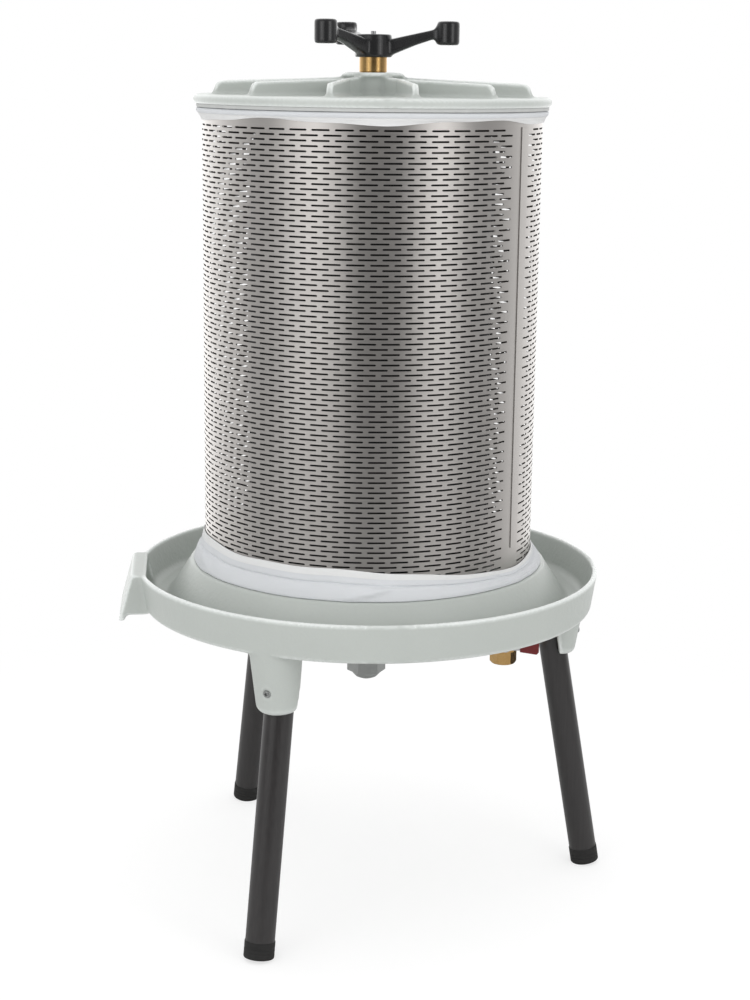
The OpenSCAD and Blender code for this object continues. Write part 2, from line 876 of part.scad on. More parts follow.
// Elbow that turns the inlet down to the valve, swollen like a ball at its corner
module inlet_elbow() {
    neck_r = collar_d / 2 - collar_step;
    way_r = port_r - inlet_wall;
    color([0.7, 0.58, 0.33])
        rotate([0, 0, inlet_azimuth])
            translate([valve_x, 0, inlet_z])
                difference() {
                    union() {
                        sphere(r = neck_r + elbow_swell);
                        rotate([0, -90, 0]) {
                            cylinder(r = neck_r, h = elbow_r);
                            translate([0, 0, elbow_r - elbow_socket])
                                cylinder(r = collar_d / 2, h = 2 * elbow_socket);
                        }
                        rotate([180, 0, 0]) {
                            cylinder(r = neck_r, h = elbow_r);
                            translate([0, 0, elbow_r - elbow_socket])
                                cylinder(r = collar_d / 2, h = elbow_socket);
                        }
                    }
                    rotate([0, -90, 0]) {
                        cylinder(r = way_r, h = elbow_r + past);
                        translate([0, 0, elbow_r - elbow_socket])
                            cylinder(r = port_r, h = 2 * elbow_socket + past);
                    }
                    rotate([180, 0, 0])
                        cylinder(r = ball_bore / 2, h = elbow_r + past);
                }
}

// Upright ball valve: body, with the stem's boss towards the front
module valve_body() {
    color([0.72, 0.56, 0.26])
        at_valve()
            difference() {
                union() {
                    translate([0, 0, valve_z - ball_z])
                        cylinder(r = valve_d / 2, h = valve_h);
                    rotate([90, 0, 0])
                        cylinder(r = stem_boss_r, h = stem_boss_y);
                }
                translate([0, 0, valve_z - ball_z - past])
                    cylinder(r = seat_r, h = past + ball_z - valve_z + ball_r);
                translate([0, 0, -eps])
                    cylinder(r = ball_bore / 2, h = valve_h);
                rotate([90, 0, 0])
                    cylinder(r = stem_r + turn_play, h = stem_boss_y + past);
            }
}

// Plastic seat rings above and below the ball
module valve_seats() {
    color([0.93, 0.93, 0.9])
        at_valve()
            for (side = [0, 180])
                rotate([side, 0, 0])
                    difference() {
                        translate([0, 0, ball_r - seat_t])
                            cylinder(r = seat_r, h = seat_t);
                        cylinder(r = ball_bore / 2, h = ball_d);
                        sphere(r = ball_r + turn_play);
                    }
}

// Hexagon end of the valve, tapped for the hose fitting
module hose_end() {
    color([0.75, 0.58, 0.28])
        at_valve()
            difference() {
                union() {
                    intersection() {
                        hexagon(hose_af, hose_end_z - ball_z, hose_hex_h);
                        translate([0, 0, hose_end_z - ball_z])
                            rotate_extrude()
                                polygon([
                                    [0, 0],
                                    [hose_af / 2, 0],
                                    [hose_af / sqrt(3) + eps, hose_chamfer],
                                    [hose_af / sqrt(3) + eps, hose_hex_h],
                                    [0, hose_hex_h]
                                ]);
                    }
                    translate([0, 0, hose_end_z - ball_z + hose_lap])
                        cylinder(r = seat_r, h = ball_z - ball_r - hose_end_z - hose_lap);
                }
                translate([0, 0, hose_end_z - ball_z - past])
                    cylinder(r = hose_bore_d / 2, h = past + hose_thread_l);
                translate([0, 0, hose_end_z - ball_z])
                    cylinder(r = ball_bore / 2, h = valve_h);
            }
}

module gland_nut() {
    color([0.72, 0.56, 0.26])
        at_valve()
            rotate([90, 0, 0])
                difference() {
                    hexagon(gland_af, stem_boss_y, gland_h);
                    cylinder(r = stem_r + turn_play, h = lever_y);
                }
}

// Perforated basket as a plain sheet drum
module press_basket() {
    color([0.62, 0.62, 0.62])
        tube(basket_r, basket_in, basket_z, basket_h);
}

// Tab of the basket's vertical lap seam, between the two cuffs
module seam_lap() {
    z_low = basket_z + lower_cuff_rise + 2 * edge_wave;
    z_high = basket_top - upper_cuff_drop - 2 * edge_wave;
    span = 360 * lap_w / (PI * basket_d);
    color([0.66, 0.66, 0.66])
        rotate([0, 0, lap_azimuth])
            translate([0, 0, z_low])
                rotate_extrude(angle = span, $fn = lap_facets)
                    translate([basket_r + turn_play, 0])
                        square([lap_t, z_high - z_low]);
}

// Cloth folded over the basket's upper edge, hanging down outside with a rolled hem
module upper_cloth_cuff() {
    top = basket_top + move_gap + cloth_t;
    inner = basket_in - move_gap;
    outer = basket_r + cloth_gap;
    color([0.95, 0.95, 0.95])
        swept_ring([
            for (i = [0 : cloth_steps - 1])
                let (a = 360 * i / cloth_steps)
                    let (roll = upper_cuff_roll + 0.5 * gather(a))
                        [
                            [inner - cloth_t, basket_top - inner_flap],
                            [inner, basket_top - inner_flap],
                            [inner, basket_top + move_gap],
                            [outer, basket_top + move_gap],
                            [outer, upper_edge(a)],
                            [outer + cloth_t, upper_edge(a)],
                            [outer + roll, top - 4],
                            [outer + roll - 1.5, top],
                            [inner - cloth_t, top]
                        ]
        ]);
}

// Cloth folded under the basket's lower edge, standing up outside and spreading on the bed in gathers
module lower_cloth_cuff() {
    low = basket_z - move_gap - cloth_t;
    inner = basket_in - move_gap;
    outer = basket_r + cloth_gap;
    color([0.95, 0.95, 0.95])
        swept_ring([
            for (i = [0 : cloth_steps - 1])
                let (a = 360 * i / cloth_steps)
                    let (spread = lower_cuff_spread + gather(a))
                        [
                            [inner - cloth_t, low],
                            [outer + spread, low],
                            [outer + spread + 0.8, low + 3],
                            [outer + spread * 0.55, low + (lower_edge(a) - low) * 0.4],
                            [outer + cloth_t, lower_edge(a)],
                            [outer, lower_edge(a)],
                            [outer, basket_z - move_gap],
                            [inner, basket_z - move_gap],
                            [inner, basket_z + inner_flap],
                            [inner - cloth_t, basket_z + inner_flap]
                        ]
        ]);
}

// One rib of the lid's star: low at the rim, rising towards the boss
module lid_rib(length, inner_h, outer_h, end_slope) {
    upright([
        [0, lid_top - lid_rib_sink],
        [length, lid_top - lid_rib_sink],
        [length, lid_top + lid_rib_sink],
        [length - end_slope * 0.4, lid_top + outer_h * 0.75],
        [length - end_slope, lid_top + outer_h],
        [0, lid_top + inner_h]
    ], arm_rib_t);
}

// Cast lid with its boss and rib star
module lid() {
    web_h = boss_h - boss_disc;
    split_r = norm([arm_split, arm_inner]);
    rib_inner_h = web_h - (web_h - arm_end_h) * split_r / arm_reach;
    color([0.74, 0.77, 0.74])
        rotate([0, 0, lid_turn]) {
            difference() {
                union() {
                    rotate_extrude()
                        polygon([
                            [0, lid_top - lid_plate - boss_under],
                            [boss_neck_r, lid_top - lid_plate - boss_under],
                            [boss_neck_r + boss_under, lid_top - lid_plate],
                            [skirt_r - skirt_t, lid_top - lid_plate],
                            [skirt_r - skirt_t, lid_z - lid_skirt],
                            [skirt_r - 1.5, lid_z - lid_skirt],
                            [skirt_r, lid_z - lid_skirt + 1.5],
                            [skirt_r, lid_z],
                            [lid_r - 1.5, lid_z],
                            [lid_r, lid_z + 1.5],
                            [lid_r, lid_top - 2.5],
                            [lid_r - 2.5, lid_top],
                            [boss_neck_r + 4, lid_top],
                            [boss_neck_r, lid_top + 4],
                            [boss_neck_r, boss_top - boss_disc],
                            [boss_d / 2, boss_top - boss_disc],
                            [boss_d / 2, boss_top - 1],
                            [boss_d / 2 - 1, boss_top],
                            [0, boss_top]
                        ]);
                    for (i = [0 : arm_count - 1])
                        rotate([0, 0, i * arm_step + arm_step / 2]) {
                            rotate([0, 0, arm_step / 2])
                                translate([boss_neck_r - 6, 0, 0])
                                    lid_rib(split_r - boss_neck_r + 8, web_h, rib_inner_h, 1);
                            for (side = [-1, 1])
                                translate([arm_split, side * (arm_inner - arm_rib_t / 4), 0])
                                    rotate([0, 0, side * arm_diverge])
                                        lid_rib(arm_len, rib_inner_h, arm_end_h, 9);
                        }
                }
                translate([0, 0, lid_z - 2 * lid_skirt])
                    cylinder(r = thread_r + 2 * move_gap, h = boss_top);
                translate([0, 0, boss_top - counterbore_h])
                    cylinder(r = counterbore_r, h = counterbore_h + past);
            }
        }
}

module lid_seal() {
    color([0.85, 0.86, 0.85])
        tube(lid_r - 3.5, skirt_r, seal_z, lid_seal_t);
}

// Washer captive on the bush, between the nut and the lid's boss
module thrust_washer() {
    color([0.7, 0.71, 0.72])
        tube(thrust_d / 2, spigot_r + turn_play, boss_top - thrust_t, thrust_t);
}

// Three-armed handle, each arm ending in an upright knob
module star_handle() {
    knob_z = handle_top + knob_lift - knob_h;
    color([0.06, 0.06, 0.06])
        difference() {
            union() {
                rotate_extrude()
                    polygon([
                        [0, handle_z],
                        [handle_hub_d / 2 - 1, handle_z],
                        [handle_hub_d / 2, handle_z + 1],
                        [handle_hub_d / 2, handle_z + handle_hub_h * 0.7],
                        [handle_hub_d / 2 - 4, handle_top - 3],
                        [handle_hub_d / 2 - 9, handle_top],
                        [0, handle_top]
                    ]);
                for (i = [0 : 2])
                    rotate([0, 0, handle_turn + 120 * i]) {
                        hull() {
                            translate([handle_hub_d / 2 - 6, 0, handle_z + 4])
                                cylinder(r = 10, h = handle_hub_h - 8, $fn = 32);
                            translate([knob_reach - knob_d / 2 + 4, 0, knob_z + knob_h * 0.26])
                                cylinder(r = 7, h = 13, $fn = 32);
                        }
                        translate([knob_reach, 0, knob_z])
                            rotate_extrude()
                                polygon([
                                    [0, 0],
                                    [knob_d / 2 - 2, 0],
                                    [knob_d / 2, 2],
                                    [knob_d / 2, knob_h - 2],
                                    [knob_d / 2 - 2, knob_h],
                                    [0, knob_h]
                                ]);
                    }
            }
            translate([0, 0, handle_z - past])
                cylinder(r = bush_d / 2, h = bush_in + past);
            cylinder(r = handle_screw_r, h = handle_top + past);
        }
}

// Brass bush with the thread for the tie rod
module thread_bush() {
    color([0.78, 0.6, 0.28])
        difference() {
            rotate_extrude()
                polygon([
                    [0, boss_top - bush_foot],
                    [spigot_r, boss_top - bush_foot],
                    [spigot_r, boss_top - thrust_t - move_gap - ring_t],
                    [spigot_r - ring_groove, boss_top - thrust_t - move_gap - ring_t],
                    [spigot_r - ring_groove, boss_top - thrust_t - move_gap],
                    [spigot_r, boss_top - thrust_t - move_gap],
                    [spigot_r, boss_top + move_gap],
                    [bush_d / 2 - 0.8, boss_top + move_gap],
                    [bush_d / 2, boss_top + move_gap + 0.8],
                    [bush_d / 2, bush_top],
                    [0, bush_top]
                ]);
            cylinder(r = thread_r + turn_play, h = bush_bore_top);
            cylinder(r = handle_screw_r, h = bush_top + past);
        }
}

// Spring ring that keeps the washer on the bush
module retaining_ring() {
    color([0.35, 0.35, 0.36])
        tube(spigot_r + ring_w, spigot_r - ring_groove, boss_top - thrust_t - move_gap - ring_t, ring_t);
}

// Screw that holds the handle on the bush
module handle_screw() {
    color([0.75, 0.75, 0.74])
        union() {
            translate([0, 0, bush_top - handle_screw_hold])
                cylinder(r = handle_screw_r, h = handle_top - bush_top + handle_screw_hold);
            translate([0, 0, handle_top])
                cylinder(r = handle_screw_r * 1.4, h = handle_screw_r * 1.6);
        }
}

// Ball, shut at rest: its water way lies across the valve
module valve_ball() {
    color([0.8, 0.81, 0.82])
        at_valve()
            difference() {
                sphere(r = ball_r);
                rotate([0, 90, 0])
                    cylinder(r = ball_bore / 2, h = 2 * ball_d, center = true);
                translate([-tongue_t / 2 - tongue_play, -ball_r - past, -stem_r])
                    cube([tongue_t + 2 * tongue_play, past + tongue_l + tongue_play, stem_d]);
            }
}

module valve_stem() {
    color([0.76, 0.6, 0.3])
        at_valve()
            union() {
                rotate([90, 0, 0])
                    translate([0, 0, ball_r + 2 * tongue_play])
                        cylinder(r = stem_r, h = lever_z - ball_r - 2 * tongue_play);
                translate([-tongue_t / 2, -ball_r - 1, 1 - stem_r])
                    cube([tongue_t, tongue_l + 1, stem_d - 2]);
                rotate([90, 0, 0])
                    translate([0, 0, lever_y])
                        cylinder(r = stem_end_r, h = lever_t + lever_nut_h);
            }
}

// Steel strip of the lever, pressed on the stem's end
module lever_strip() {
    color([0.7, 0.7, 0.71])
        at_valve()
            rotate([90, 0, 0])
                translate([0, 0, lever_z])
                    linear_extrude(height = lever_t)
                        difference() {
                            union() {
                                circle(r = lever_eye_r);
                                translate([0, -strip_w / 2])
                                    square([strip_l, strip_w]);
                            }
                            circle(r = stem_end_r);
                        }
}

// Red plastic sleeve over the strip, drooping a little towards its tip
module lever_sleeve() {
    color([0.55, 0.05, 0.06])
        at_valve()
            difference() {
                rotate([90, 0, 0])
                    translate([0, 0, lever_z - sleeve_t])
                        linear_extrude(height = lever_t + 2 * sleeve_t)
                            polygon([
                                [sleeve_start, -lever_w / 2 + sleeve_t],
                                [lever_l - edge_break, -lever_w / 2 - sleeve_droop],
                                [lever_l, -lever_w / 2 + sleeve_t],
                                [lever_l, lever_w / 2 - edge_break],
                                [lever_l - edge_break, lever_w / 2],
                                [sleeve_start, lever_w / 2 - sleeve_t]
                            ]);
                rotate([90, 0, 0])
                    translate([0, -strip_w / 2, lever_z])
                        linear_extrude(height = lever_t)
                            square([strip_l, strip_w]);
            }
}

module lever_nut() {
    color([0.72, 0.72, 0.7])
        at_valve()
            rotate([90, 0, 0])
                difference() {
                    hexagon(lever_nut_af, lever_z + lever_t, lever_nut_h - 1);
                    cylinder(r = stem_end_r, h = lever_z + lever_t + lever_nut_h + past);
                }
}

base_pan();
right_leg();
front_leg();
rear_leg();
right_foot();
front_foot();
rear_foot();
leg_screws();
leg_insert_nuts();
tie_rod();
tie_rod_washer();
tie_rod_nut();
rod_seal();
core_tube();
core_cap();
core_nut();
bladder();
lower_clamp();
upper_clamp();
inlet_pipe();
inlet_elbow();
valve_body();
valve_seats();
hose_end();
gland_nut();
press_basket();
seam_lap();
upper_cloth_cuff();
lower_cloth_cuff();
lid();
lid_seal();
thrust_washer();
star_handle();
thread_bush();
retaining_ring();
handle_screw();
valve_ball();
valve_stem();
lever_strip();
lever_sleeve();
lever_nut();
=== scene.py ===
from math import cos, pi, radians, sin

import bmesh
import bpy
import numpy as np
from mathutils import Matrix, Vector


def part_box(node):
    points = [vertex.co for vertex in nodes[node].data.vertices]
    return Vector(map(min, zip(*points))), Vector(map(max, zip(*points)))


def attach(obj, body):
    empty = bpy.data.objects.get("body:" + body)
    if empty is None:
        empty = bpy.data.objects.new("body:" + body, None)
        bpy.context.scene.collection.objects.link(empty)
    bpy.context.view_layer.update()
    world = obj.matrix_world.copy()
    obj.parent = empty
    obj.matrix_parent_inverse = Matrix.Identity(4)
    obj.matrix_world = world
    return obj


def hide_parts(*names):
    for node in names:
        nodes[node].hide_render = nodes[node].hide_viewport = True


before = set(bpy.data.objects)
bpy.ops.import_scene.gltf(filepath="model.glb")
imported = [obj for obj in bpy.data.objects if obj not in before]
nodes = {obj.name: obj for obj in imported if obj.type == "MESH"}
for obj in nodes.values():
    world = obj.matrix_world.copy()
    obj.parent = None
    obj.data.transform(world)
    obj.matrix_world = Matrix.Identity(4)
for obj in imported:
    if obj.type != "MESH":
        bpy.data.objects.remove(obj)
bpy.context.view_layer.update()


# Base pan: one aluminium sand casting with the juice trough, the raised bed, three leg brackets, the
# spout and the hub for the tie rod. The mould rounds its edges, and it is sprayed with a pale
# grey-green hammered paint, painted lighter on the edges as a painted highlight and darker in the
# corners as painted shade.
class Signal:
    """An output socket of a node tree. Arithmetic on signals adds Math nodes to that tree."""

    def __init__(self, tree, socket=None):
        self.tree = tree
        self.socket = socket

    def node(self, kind, settings=None, sockets=None, out=0):
        """Adds a node: its settings first, then its sockets' values or links. Gives its output."""
        made = self.tree.nodes.new(kind)
        for name, value in (settings or {}).items():
            if name == "stops":
                elements = made.color_ramp.elements
                elements.remove(elements[1])
                elements[0].position, elements[0].color = value[0]
                for place, colour in value[1:]:
                    elements.new(place).color = colour
            else:
                setattr(made, name, value)
        for name, value in (sockets or {}).items():
            self.join(made.inputs[name], value)
        if isinstance(out, tuple):
            return [Signal(self.tree, made.outputs[i]) for i in out]
        return Signal(self.tree, made.outputs[out])

    def join(self, socket, value):
        """Links a signal to a socket, or sets the socket to a plain value."""
        if isinstance(value, Signal):
            self.tree.links.new(value.socket, socket)
        else:
            socket.default_value = value

    def maths(self, operation, *others):
        """A Math node on this signal and up to two more values."""
        return self.node("ShaderNodeMath", {"operation": operation}, dict(enumerate((self, *others))))

    def __add__(self, other):
        return self.maths("ADD", other)

    def __sub__(self, other):
        return self.maths("SUBTRACT", other)

    def __rsub__(self, other):
        return self.node("ShaderNodeMath", {"operation": "SUBTRACT"}, {0: other, 1: self})

    def __mul__(self, other):
        return self.maths("MULTIPLY", other)

    def __truediv__(self, other):
        return self.maths("DIVIDE", other)

    def __rtruediv__(self, other):
        return self.node("ShaderNodeMath", {"operation": "DIVIDE"}, {0: other, 1: self})

    def __mod__(self, other):
        return self.maths("MODULO", other)

    def __gt__(self, other):
        return self.maths("GREATER_THAN", other)

    __radd__ = __add__
    __rmul__ = __mul__

    def noise(self, place, scale, detail, roughness=0.5):
        """Soft noise from 0 to 1 over a place, with scale in waves a metre."""
        return self.node("ShaderNodeTexNoise", None,
                         {"Vector": place, "Scale": scale, "Detail": detail, "Roughness": roughness})

    def stretched(self, place, stretch):
        """A place multiplied along each axis."""
        return self.node("ShaderNodeVectorMath", {"operation": "MULTIPLY"}, {0: place, 1: stretch})

    def between(self, factor, low, high):
        """A colour that runs from low to high, each a plain colour or a signal."""
        ends = [end if isinstance(end, Signal) else (*end, 1.0) for end in (low, high)]
        return self.node("ShaderNodeMix", {"data_type": "RGBA"}, {0: factor, 6: ends[0], 7: ends[1]}, 2)

    def bump(self, height, distance, strength):
        """A normal from a height of 0 to 1 that stands for a distance in metres."""
        return self.node("ShaderNodeBump", None,
                         {"Height": height, "Distance": distance, "Strength": strength})


class Finish:
    """A Principled material: its even values are set at once, its varying sockets are fed later."""

    def __init__(self, name, **even):
        self.material = bpy.data.materials.new(name)
        self.material.use_nodes = True
        self.surface = self.material.node_tree.nodes["Principled BSDF"]
        self.signal = Signal(self.material.node_tree)
        self.place = self.signal.node("ShaderNodeTexCoord", out=3)
        for socket, value in even.items():
            self.surface.inputs[socket.replace("_", " ")].default_value = value

    def feed(self, **varying):
        """Links signals to the surface's sockets."""
        for socket, value in varying.items():
            self.signal.join(self.surface.inputs[socket.replace("_", " ")], value)

    def cover(self, *pieces):
        """Gives this finish to pieces: it takes the place of whatever material they had."""
        for piece in pieces:
            piece.data.materials.clear()
            piece.data.materials.append(self.material)


def settled(piece):
    """Turns a piece's modifiers into plain mesh."""
    seen = piece.evaluated_get(bpy.context.evaluated_depsgraph_get())
    mesh = bpy.data.meshes.new_from_object(seen)
    old = piece.data
    piece.modifiers.clear()
    piece.data = mesh
    bpy.data.meshes.remove(old)
    mesh.shade_smooth()
    return piece


def placed(name, mesh):
    """A new object at the origin that holds a mesh."""
    piece = bpy.data.objects.new(name, mesh)
    bpy.context.scene.collection.objects.link(piece)
    return piece


def merged(mesh, apart):
    """Joins the points of a mesh that lie no farther apart than this."""
    work = bmesh.new()
    work.from_mesh(mesh)
    bmesh.ops.remove_doubles(work, verts=work.verts, dist=apart)
    work.to_mesh(mesh)
    work.free()
    return mesh


def moulded(node, name, grain, passes, most, fillet=0.0, swell=0.0):
    """A copy of a solid with its edges rounded and its corners filled to a radius, as a mould leaves
    them. swell makes up for what the rounding takes off, and most is the limit of its triangles."""
    piece = placed(name, merged(nodes[node].data.copy(), 1e-6))
    for growth in (0.0, fillet + swell, -fillet):
        grown = piece.modifiers.new("grown", "DISPLACE")
        grown.mid_level = 0.0
        grown.strength = growth
        remesh = piece.modifiers.new("mould", "REMESH")
        remesh.mode = "VOXEL"
        remesh.voxel_size = grain
    rounding = piece.modifiers.new("rounding", "SMOOTH")
    rounding.factor = 0.5
    rounding.iterations = passes
    settled(piece)
    triangles = sum(len(p.vertices) - 2 for p in piece.data.polygons)
    if triangles > most:
        thin = piece.modifiers.new("thin", "DECIMATE")
        thin.ratio = most / triangles
        settled(piece)
    return piece


def edged(piece, radius, covered=0.0):
    """Stores how sharply the surface bends at each point: 1 on an edge of this radius, -1 in such a
    corner. Edges nearer to the axis than covered get no painted highlight."""
    mesh = piece.data
    count = len(mesh.vertices)
    place = np.empty((count, 3), np.float32)
    normal = np.empty((count, 3), np.float32)
    ends = np.empty((len(mesh.edges), 2), np.int32)
    mesh.vertices.foreach_get("co", place.ravel())
    mesh.vertex_normals.foreach_get("vector", normal.ravel())
    mesh.edges.foreach_get("vertices", ends.ravel())
    a, b = ends.T
    step = place[b] - place[a]
    bend = ((normal[b] - normal[a]) * step).sum(1) / np.maximum((step * step).sum(1), 1e-12)
    shared = np.maximum(np.bincount(ends.ravel(), minlength=count), 1)
    for _ in range(2):
        point = (np.bincount(a, bend, count) + np.bincount(b, bend, count)) / shared
        bend = (point[a] + point[b]) / 2
    point = np.where(np.hypot(place[:, 0], place[:, 1]) < covered, np.minimum(point, 0), point)
    bends = mesh.attributes.new("edge", "FLOAT", "POINT")
    bends.data.foreach_set("value", np.clip(point * radius, -1, 1).astype(np.float32))


casting = Finish("hammered_paint", Specular_IOR_Level=0.45)
cells = casting.signal.node("ShaderNodeTexVoronoi", {"feature": "SMOOTH_F1"},
                            {"Vector": casting.place, "Scale": 210.0, "Smoothness": 0.8})
flow = casting.signal.noise(casting.place, 420.0, 2.0)
shade = casting.signal.noise(casting.place, 11.0, 4.0)
edge = casting.signal.node("ShaderNodeAttribute", {"attribute_name": "edge"}, out=2)
# Painted highlight: the paint is made lighter and a little less rough on convex edges.
edge_highlight = (edge * 1.25 - 0.15).maths("MAXIMUM", 0.0)
# Painted shade: the paint is made darker in concave corners and at the feet of ribs.
corner_shade = (edge * -1.0).maths("MAXIMUM", 0.0)
sprayed = casting.signal.between(shade * 0.7 + flow * 0.3, (0.47, 0.50, 0.475), (0.54, 0.57, 0.54))
sprayed = casting.signal.between(corner_shade * 0.25, sprayed, (0.25, 0.27, 0.26))
casting.feed(
    Base_Color=casting.signal.between(edge_highlight, sprayed, (0.80, 0.83, 0.81)),
    Roughness=0.30 + shade * 0.14 + cells * 0.06 - edge_highlight * 0.12,
    Normal=casting.signal.bump(cells * 0.75 + flow * 0.25, 0.0011, 0.35),
)

pan = moulded("base_pan", "cast_pan", grain=0.0017, passes=5, most=190_000, fillet=0.004)
edged(pan, 0.0065, covered=0.262)
casting.cover(pan)
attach(pan, "stand")
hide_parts("base_pan")


# Legs: three steel tubes that stand in the brackets, splayed by ten degrees. They are drawn tube in a
# dark grey-brown powder coat, which still shows the faint lines of the drawing along them.
leg_coat = Finish("leg_powder_coat", Specular_IOR_Level=0.6)
grain = leg_coat.signal.noise(leg_coat.place, 900.0, 2.0)
streak = leg_coat.signal.noise(leg_coat.signal.stretched(leg_coat.place, (420.0, 420.0, 5.0)), 1.0, 3.0)
leg_coat.feed(
    Base_Color=leg_coat.signal.between(streak, (0.013, 0.012, 0.012), (0.034, 0.030, 0.030)),
    Roughness=0.25 + streak * 0.12 + grain * 0.06,
    Normal=leg_coat.signal.bump(streak * 0.6 + grain * 0.4, 0.0003, 0.30),
)
leg_coat.cover(nodes["right_leg"], nodes["front_leg"], nodes["rear_leg"])


# Feet: moulded black rubber cups pushed over the tubes' ends, with two grip grooves and a sole that is
# worn flat where it meets the floor.
def skin(name, rings, loop=False, caps=False, uv=None):
    """Quads over rings of points that run round counter-clockwise. loop joins the last ring to the
    first, and uv is the length of one step round and the list of lengths across."""
    rows, count, _ = rings.shape
    last = rows if loop else rows - 1
    faces = []
    for i in range(last):
        k = (i + 1) % rows
        for j in range(count):
            n = (j + 1) % count
            faces.append((i * count + j, i * count + n, k * count + n, k * count + j))
    if caps:
        faces.append(tuple(reversed(range(count))))
        faces.append(tuple(range((rows - 1) * count, rows * count)))
    mesh = bpy.data.meshes.new(name)
    mesh.from_pydata(rings.reshape(-1, 3).tolist(), [], faces)
    if uv:
        step, across = uv
        layer = mesh.uv_layers.new(name="cut")
        corners = [(u * step, across[v])
                   for i in range(last) for j in range(count)
                   for u, v in ((j, i), (j + 1, i), (j + 1, i + 1), (j, i + 1))]
        layer.data.foreach_set("uv", np.array(corners, np.float32).ravel())
    mesh.shade_smooth()
    return placed(name, mesh)


def turned(outline, steps=64):
    """Rings of points for an outline of (radius, height) turned about Z."""
    around = np.linspace(0, 2 * pi, steps, endpoint=False)
    outline = np.asarray(outline, float)
    rings = np.empty((len(outline), steps, 3))
    rings[:, :, 0] = outline[:, :1] * np.cos(around)
    rings[:, :, 1] = outline[:, :1] * np.sin(around)
    rings[:, :, 2] = outline[:, 1:]
    return rings


def softened(points, passes):
    """Cuts the corners of a chain of points into a smooth curve that keeps its ends."""
    points = np.asarray(points, float)
    for _ in range(passes):
        before, after = points[:-1], points[1:]
        cut = np.stack((0.75 * before + 0.25 * after, 0.25 * before + 0.75 * after), 1)
        cut = cut.reshape(-1, *points.shape[1:])
        points = np.concatenate((points[:1], cut, points[-1:]))
    return points


foot_rubber = Finish("foot_rubber", Specular_IOR_Level=0.35)
dust = foot_rubber.signal.noise(foot_rubber.place, 60.0, 4.0)
pores = foot_rubber.signal.noise(foot_rubber.place, 1500.0, 2.0)
foot_rubber.feed(
    Base_Color=foot_rubber.signal.between(dust, (0.012, 0.012, 0.012), (0.030, 0.029, 0.028)),
    Roughness=0.55 + dust * 0.25,
    Normal=foot_rubber.signal.bump(pores, 0.0002, 0.35),
)

leg_splay = radians(10)
tube_r = 0.019
cup_wall = 0.0008
cup_h = 0.022
sole_worn = 0.0012
sole_round = 0.003
groove = 0.0005
leg_circle = 0.3188
foot_turns = {"right_foot": 0.0, "front_foot": radians(-120), "rear_foot": radians(120)}
cup_r = tube_r + cup_wall
cup_low = (cup_r * sin(leg_splay) - sole_worn) / cos(leg_splay)
cup_top = cup_low + cup_h
cup_outline = softened([(0.004, cup_low), (cup_r - sole_round, cup_low), (cup_r, cup_low),
                        (cup_r, cup_low + 0.004)], 3)
grooves = [(cup_r - groove * deep, cup_low + height) for height, deep in (
    (0.0070, 0), (0.0075, 1), (0.0085, 1), (0.0090, 0),
    (0.0120, 0), (0.0125, 1), (0.0135, 1), (0.0140, 0))]
lip_r = tube_r - 0.0001
lip = softened([(cup_r, cup_top - 0.003), (cup_r, cup_top), (lip_r, cup_top),
                (lip_r, cup_top - 0.002)], 2)
for name, turn in foot_turns.items():
    foot = skin(name.replace("foot", "foot_cup"), turned([*cup_outline, *grooves, *lip]), caps=True)
    foot.data.transform(Matrix.Rotation(turn, 4, "Z") @ Matrix.Translation((leg_circle, 0, 0))
                        @ Matrix.Rotation(-leg_splay, 4, "Y"))
    work = bmesh.new()
    work.from_mesh(foot.data)
    cut = bmesh.ops.bisect_plane(work, geom=work.verts[:] + work.edges[:] + work.faces[:],
                                 plane_co=(0, 0, 0), plane_no=(0, 0, 1), clear_inner=True)
    rim = [e for e in cut["geom_cut"] if isinstance(e, bmesh.types.BMEdge)]
    bmesh.ops.edgeloop_fill(work, edges=rim)
    bmesh.ops.recalc_face_normals(work, faces=work.faces)
    work.to_mesh(foot.data)
    work.free()
    foot_rubber.cover(foot)
    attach(foot, "stand")
    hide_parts(name)


# Fasteners: zinc-plated button-head screws through the brackets into insert nuts, the cap nut that
# takes the tie rod's pull under the hub, the nuts on the core and the lever, and the star nut's spring
# ring. The plating is dull and a little cloudy, and the inlet pipe has it too.
zinc = Finish("zinc_plate", Metallic=1.0)
cloud = zinc.signal.noise(zinc.place, 140.0, 4.0)
scratch = zinc.signal.noise(zinc.signal.stretched(zinc.place, (900.0, 900.0, 120.0)), 1.0, 2.0)
zinc.feed(
    Base_Color=zinc.signal.between(cloud, (0.27, 0.28, 0.275), (0.42, 0.43, 0.42)),
    Roughness=0.28 + cloud * 0.22,
    Normal=zinc.signal.bump(scratch, 0.0001, 0.25),
)
zinc.cover(*(nodes[n] for n in ("leg_screws", "leg_insert_nuts", "tie_rod_nut", "core_nut",
                                "inlet_pipe", "lever_nut", "retaining_ring")))


# Tie rod: turned stainless bar from the cap nut to above the lid. Its upper end is cut with a coarse
# thread of five millimetres pitch for the star nut. The washers, the core tube, the clamp bands and
# the valve's ball and lever are bright steel too.
bright = Finish("turned_steel", Metallic=1.0)
rings_cut = bright.signal.noise(bright.signal.stretched(bright.place, (6.0, 6.0, 2600.0)), 1.0, 2.0)
haze = bright.signal.noise(bright.place, 18.0, 4.0)
bright.feed(
    Base_Color=bright.signal.between(haze, (0.52, 0.52, 0.53), (0.64, 0.64, 0.65)),
    Roughness=0.20 + haze * 0.12 + rings_cut * 0.08,
    Normal=bright.signal.bump(rings_cut, 0.00012, 0.25),
)
bright.cover(*(nodes[n] for n in ("tie_rod_washer", "core_tube", "lower_clamp", "upper_clamp",
                                  "thrust_washer", "lever_strip", "valve_ball", "handle_screw")))

thread_r = 0.012
thread_pitch = 0.005
thread_depth = 0.0026
crest_half = 0.10
flank = 0.28
run_out = 0.45
rod_low, rod_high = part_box("tie_rod")
shank_r = rod_high.x
shoulder_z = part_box("lid")[0].z - 0.020
thread_low = shoulder_z + 0.002
thread_high = rod_high.z


